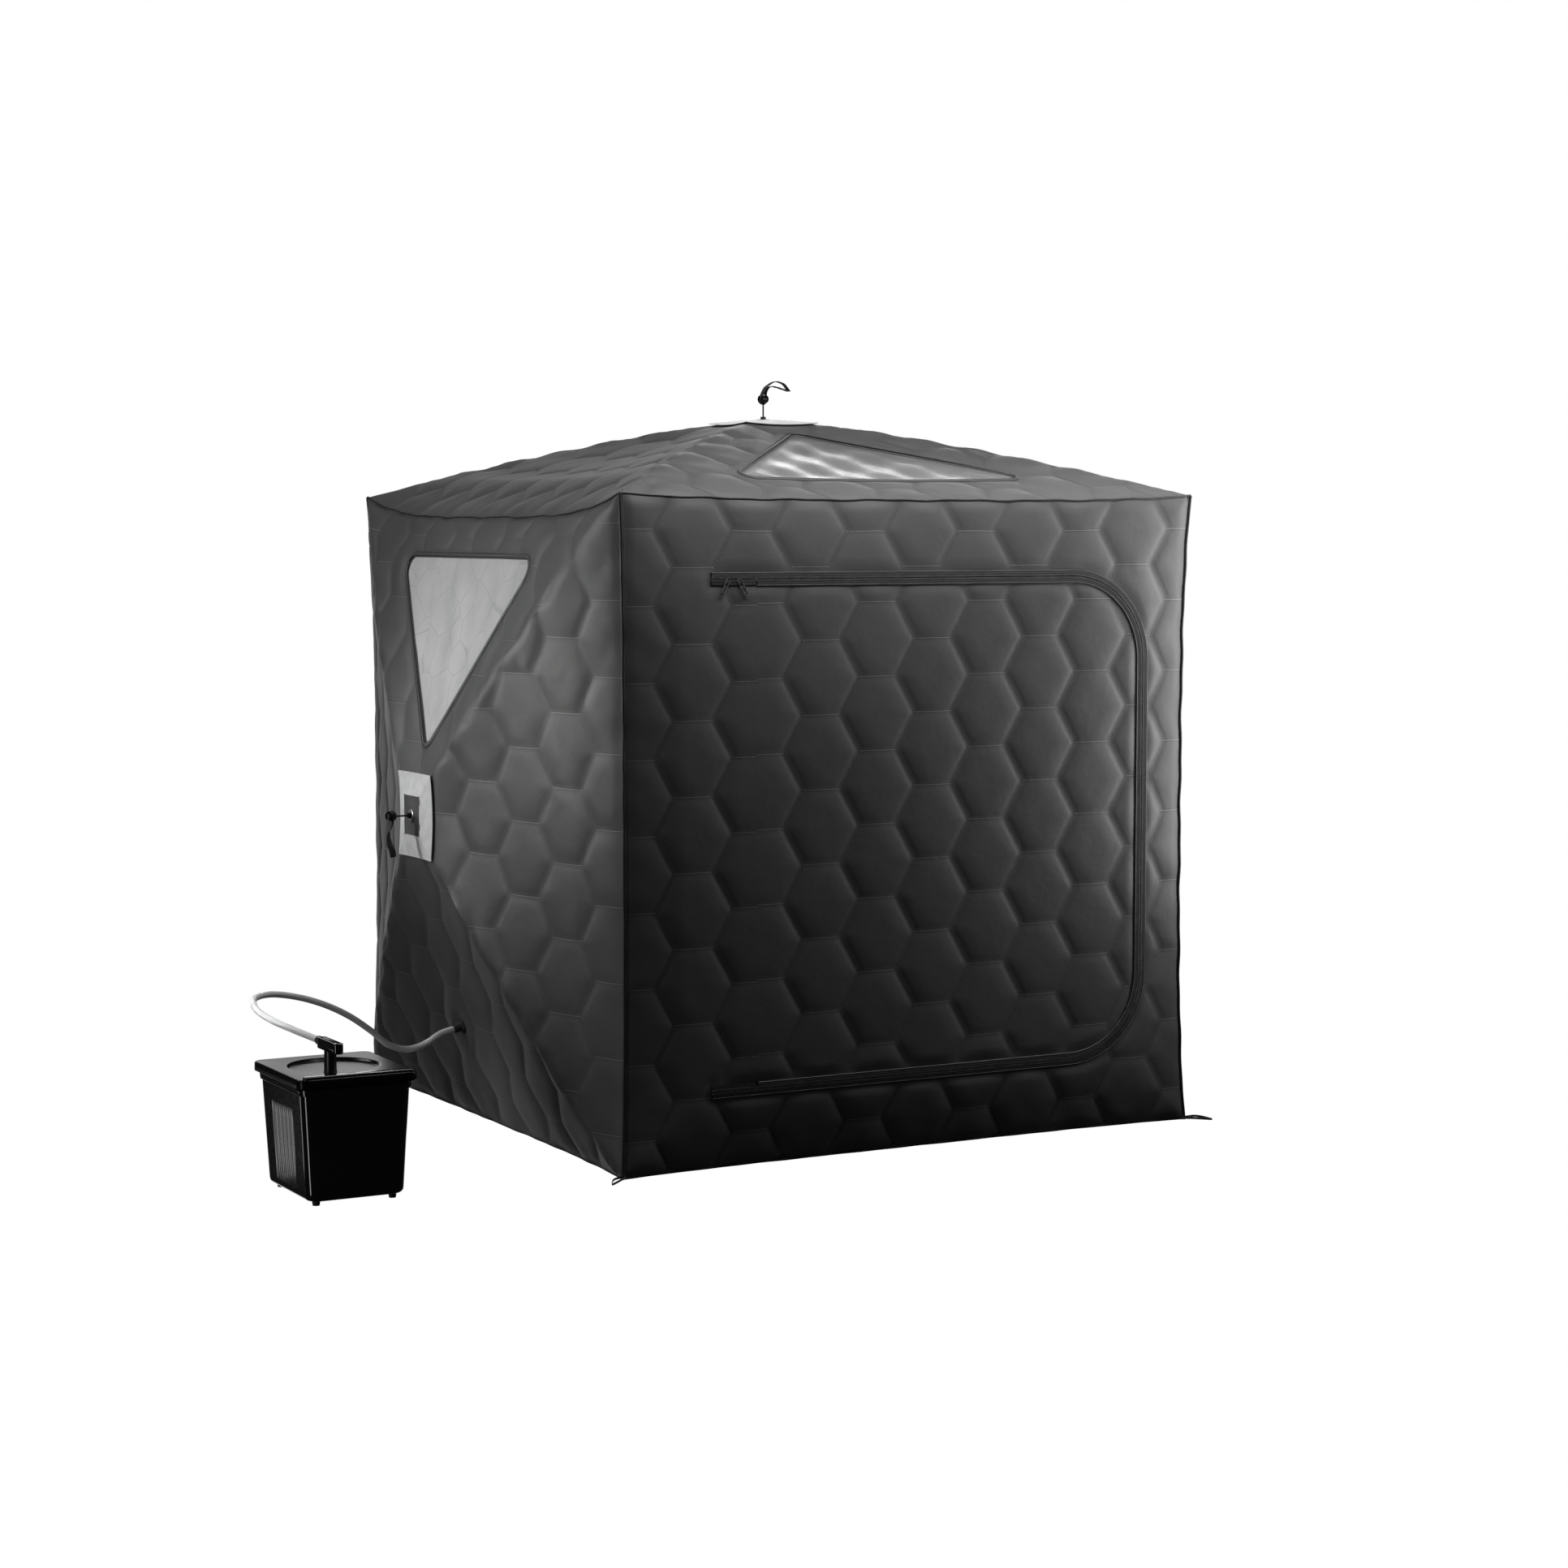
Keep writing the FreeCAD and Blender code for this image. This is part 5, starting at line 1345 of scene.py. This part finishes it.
def lid():
    """The lid: a slab with rounded edges, a shallow round dish and a bar along its front."""
    low, high = LID_LOW.z, max(LID_HIGH.z - 0.007, LID_LOW.z + 0.022)
    half_x, half_y = (LID_HIGH.x - LID_LOW.x) / 2, (LID_HIGH.y - LID_LOW.y) / 2
    base, _ = side_loop(half_x, half_y, LID_CORNER, LID_STEPS)
    angle = np.arctan2(base[:, 1] - DISH_MIDDLE[1], base[:, 0] - DISH_MIDDLE[0])
    edge = [(0.03, low + 0.003), (0.012, low + 0.003), (0.0105, low), (0.002, low), (0.0006, low + 0.0006),
            (0.0, low + 0.002), (0.0004, high - 0.004), (0.0016, high - 0.0014), (0.004, high),
            (0.0070, high - 0.0001)]
    dish = [(DISH_RADIUS + 0.006, high), (DISH_RADIUS + 0.0015, high - 0.0002), (DISH_RADIUS, high - 0.0012),
            (DISH_RADIUS - 0.002, high - 0.0055), (DISH_RADIUS - 0.006, DISH_FLOOR + 0.0004),
            (DISH_RADIUS - 0.010, DISH_FLOOR), (0.02, DISH_FLOOR)]
    rings = []
    for inset, z in edge:
        loop, _ = side_loop(half_x - inset, half_y - inset, max(0.006, LID_CORNER - inset), LID_STEPS)
        rings.append(np.column_stack([loop, np.full(len(loop), z)]))
    for radius, z in dish:
        x, y = DISH_MIDDLE[0] + radius * np.cos(angle), DISH_MIDDLE[1] + radius * np.sin(angle)
        rings.append(np.stack([x, y, np.full(len(angle), z)], 1))
    slab = loft("lid_slab", rings, "lid")
    levels = [(0.0, high - 0.002), (0.0, high + 0.0035), (0.0014, high + 0.0062), (0.0035, high + 0.0070)]
    bar_loops = stacked_loops(half_x - 0.016, 0.011, 0.006, levels, 5, 0.8)
    bar = loft("lid_bar", bar_loops, "gloss", Matrix.Translation((0, 0.014 - half_y, 0)))
    whole = join("lid_shell", [slab, bar])
    whole.data.transform(Matrix.Translation(STEAMER))
    return finish_piece(whole, "lid", ["steamer_lid"])


def outlet():
    """The steam outlet: a flared post and an arm with a slot along its top."""
    low, high = OUTLET_LOW, OUTLET_HIGH
    middle = Vector(((low.x + high.x) / 2, (low.y + high.y) / 2, 0))
    neck = high.z - 0.024 - low.z
    profile = [(0, 0.0), (0.021, 0.0), (0.021, 0.0022), (0.0195, 0.0034), (0.0175, 0.005), (0.0162, 0.009),
               (0.0155, neck), (0, neck)]
    post = disc_profile("post", profile, "satin", 40, Matrix.Translation((middle.x, POST_Y, low.z)))
    half_x, half_y = (high.x - low.x) / 2, (high.y - low.y) / 2
    under = high.z - 0.028
    levels = [(0.0022, under), (0.0006, under + 0.0008), (0.0, under + 0.0022), (0.0, high.z - 0.0030),
              (0.0008, high.z - 0.0010), (0.0026, high.z), (0.0042, high.z), (0.0048, high.z - 0.0006),
              (0.0052, high.z - 0.0032)]
    arm = loft("arm", stacked_loops(half_x, half_y, 0.0122, levels), "gloss", Matrix.Translation(middle))
    levels = [(0.0, high.z - 0.0034), (0.0, high.z - 0.0008), (0.0012, high.z + 0.0002)]
    place = Matrix.Translation(middle + Vector((0, 0.012, 0)))
    latch = loft("latch", stacked_loops(0.006, 0.034, 0.0045, levels), "satin", matrix=place)
    piece = join("outlet_arm", [post, arm, latch])
    return finish_piece(piece, "lid", ["steam_outlet"])


def coupling():
    """The ringed collar that the hose pushes into."""
    low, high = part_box("hose_coupling")
    long = high.y - low.y
    bore, ring, groove, neck, hose_bore = 0.0068, 0.012, 0.0108, 0.0116, 0.0092
    profile = [(bore, 0), (0.0112, 0), (ring, 0.0008), (ring, 0.0042), (groove, 0.0052), (groove, 0.0062),
               (ring, 0.0072), (ring, 0.0104), (groove, 0.0114), (groove, 0.0122), (neck, 0.0130),
               (neck, long - 0.0006), (0.0105, long), (hose_bore, long), (hose_bore, 0.002), (bore, 0.002),
               (bore, 0)]
    end = Matrix.Translation(((low.x + high.x) / 2, low.y, (low.z + high.z) / 2))
    end = end @ Matrix.Rotation(math.radians(-90), 4, "X")
    piece = disc_profile("coupling_collar", profile, "satin", 40, end)
    return finish_piece(piece, "lid", ["hose_coupling"])


tank()
lid()
outlet()
coupling()

# Hose and port ------------------------------------------------------------------------------------

HOSE_ROUTE = [
    (-1.655, -0.674, 0.398), (-1.655, -0.600, 0.398), (-1.666, -0.500, 0.403), (-1.683, -0.392, 0.413),
    (-1.688, -0.284, 0.428), (-1.660, -0.190, 0.441), (-1.592, -0.124, 0.440), (-1.505, -0.084, 0.422),
    (-1.415, -0.055, 0.391), (-1.330, -0.032, 0.348), (-1.258, -0.014, 0.298), (-1.200, -0.003, 0.252),
    (-1.142, 0.003, 0.235), (-1.086, 0.002, 0.248), (-1.0443, 0, 0.2721), (-1.0037, 0, 0.2828),
]
HOSE_DIAMETER = 0.018
LID_SHARE = 0.42                        # the share of the hose's line in its first run, the one from the steamer
PORT_AXIS_Z = 0.2828
# The port's way out of the wall and the middle of its flange.
PORT_OUT, PORT_PLACE = Vector((-0.967, 0, -0.255)), Vector((-0.9766, 0, 0.290))


def hose_run(name, line, blend):
    """One run of the hose, a tube along its line."""
    piece = tube(name, line, HOSE_DIAMETER / 2, "hose", sides=20)
    finish_piece(piece, None, ["steam_hose"], blend)


def hose():
    """The hose in two runs that meet end to end: one from the steamer, the other to the wall."""
    line = smooth_route(HOSE_ROUTE)
    split = int(len(line) * LID_SHARE)
    first, second = line[:split + 1], line[split:]
    hose_run("hose_steamer_run", first, ("lid", "tent", tuple(first[0]), tuple(first[-1])))
    hose_run("hose_wall_run", second, ("tent", "left_hub", (-1.45, 0, PORT_AXIS_Z), (0.11, 0, PORT_AXIS_Z)))


def port():
    """The rubber grommet in the wall and the stub that the hose pushes over."""
    turn = PORT_OUT.normalized().to_track_quat("Z", "Y").to_matrix().to_4x4()
    place = Matrix.Translation(PORT_PLACE) @ turn
    bore, hose_bore, inner_end, outer_end = 0.0072, 0.0093, -0.010, 0.0280
    profile = [(bore, inner_end), (0.0122, inner_end), (0.0124, -0.0020), (0.0215, -0.0020),
               (0.0235, -0.0006), (0.024, 0.0014), (0.0228, 0.0036), (0.019, 0.0052), (0.0150, 0.0058),
               (0.0138, 0.0075), (0.0135, 0.0270), (0.0128, outer_end), (hose_bore, outer_end),
               (hose_bore, 0.0100), (bore, 0.0090), (bore, inner_end)]
    piece = disc_profile("port_grommet", profile, "rubber", 40, place)
    return finish_piece(piece, None, ["hose_port"], quarter_blend("left", "down"))


hose()
port()

# Parts that keep their modelled shape -------------------------------------------------------------

KEPT = {
    "zip_end_stops": "zip_metal", "zip_slider_a": "zip_metal", "zip_slider_b": "zip_metal",
    "corner_sockets": "hub", "lid_gasket": "rubber", "steamer_feet": "rubber",
    "heating_element": "steel", "power_inlet": "satin",
}
for wall in HUB_WALLS:
    KEPT[wall + "_hub_bracket"] = "hub"
    KEPT[wall + "_hub_bolt"] = "bolt"
for name, material in KEPT.items():
    node = bpy.data.objects[name]
    node.data.materials.clear()
    node.data.materials.append(MATERIALS[material])


# Light --------------------------------------------------------------------------------------------


def area_light(name, place, target, size, power, spread=180):
    """A rectangular lamp that faces its target. spread is its beam's angle in degrees."""
    data = bpy.data.lights.new(name, "AREA")
    data.spread = math.radians(spread)
    data.shape = "RECTANGLE"
    data.size, data.size_y = size
    data.energy = power
    light = in_scene(name, data)
    light.location = place
    light.rotation_euler = (Vector(target) - Vector(place)).to_track_quat("-Z", "Y").to_euler()
    light.visible_camera = False


ROOM_LIGHT, CARD_LIGHT = 0.015, 1.0
CARD_INNER, CARD_OUTER = math.radians(22), math.radians(38)


def backdrop():
    """A dim room with a bright white card that fills the view behind the object."""
    world = bpy.data.worlds.new("Room")
    bpy.context.scene.world = world
    world.use_nodes = True
    tree = world.node_tree
    way = tree.nodes.new("ShaderNodeTexCoord")
    near = tree.nodes.new("ShaderNodeVectorMath")
    near.operation = "DOT_PRODUCT"
    near.inputs[1].default_value = camera.rotation_euler.to_matrix() @ Vector((0, 0, -1))
    tree.links.new(way.outputs["Generated"], near.inputs[0])
    fade = tree.nodes.new("ShaderNodeMapRange")
    fade.interpolation_type = "SMOOTHSTEP"
    fade.inputs["From Min"].default_value = math.cos(CARD_OUTER)
    fade.inputs["From Max"].default_value = math.cos(CARD_INNER)
    fade.inputs["To Min"].default_value = ROOM_LIGHT
    fade.inputs["To Max"].default_value = CARD_LIGHT
    tree.links.new(near.outputs["Value"], fade.inputs["Value"])
    tree.links.new(fade.outputs["Result"], tree.nodes["Background"].inputs["Strength"])
    tree.nodes["Background"].inputs["Color"].default_value = (1, 1, 1, 1)


backdrop()
bpy.context.scene.view_settings.view_transform = "Standard"
area_light("Left", (-3.0, 1.0, 2.6), (-0.9, 0.0, 1.5), (1.2, 1.2), 27)
area_light("LeftCard", (-3.6, 1.2, 1.5), (-0.9, -0.40, 1.20), (0.5, 0.3), 1.7, 36)
area_light("Right", (1.32, -1.20, 1.25), (0.5, -0.9, 1.15), (0.25, 1.3), 10)
area_light("Above", (0.25, -1.20, 2.18), (0.2, -0.9, 1.7), (2.2, 0.15), 14)
area_light("Sky", (0.4, -0.35, 5.5), (0.0, 0.0, 1.8), (1.8, 1.8), 90)
area_light("Back", (3.2, 4.2, 2.6), (0.4, 0.4, 0.9), (2.5, 2.5), 90)
area_light("Steamer", (-2.9, -1.0, 1.1), (-1.6, -0.7, 0.3), (0.25, 1.0), 1.8)
area_light("Hose", (-3.0, -0.4, 1.2), (-1.68, -0.28, 0.43), (0.3, 0.3), 0.3, 16)
area_light("SteamerEdge", (-3.6, -1.45, 0.0), (-1.77, -0.86, 0.17), (0.35, 1.4), 6)
area_light("SteamerSide", (-3.4, 2.5, -0.62), (-1.8, -0.7, 0.2), (0.8, 0.4), 0.022, 30)
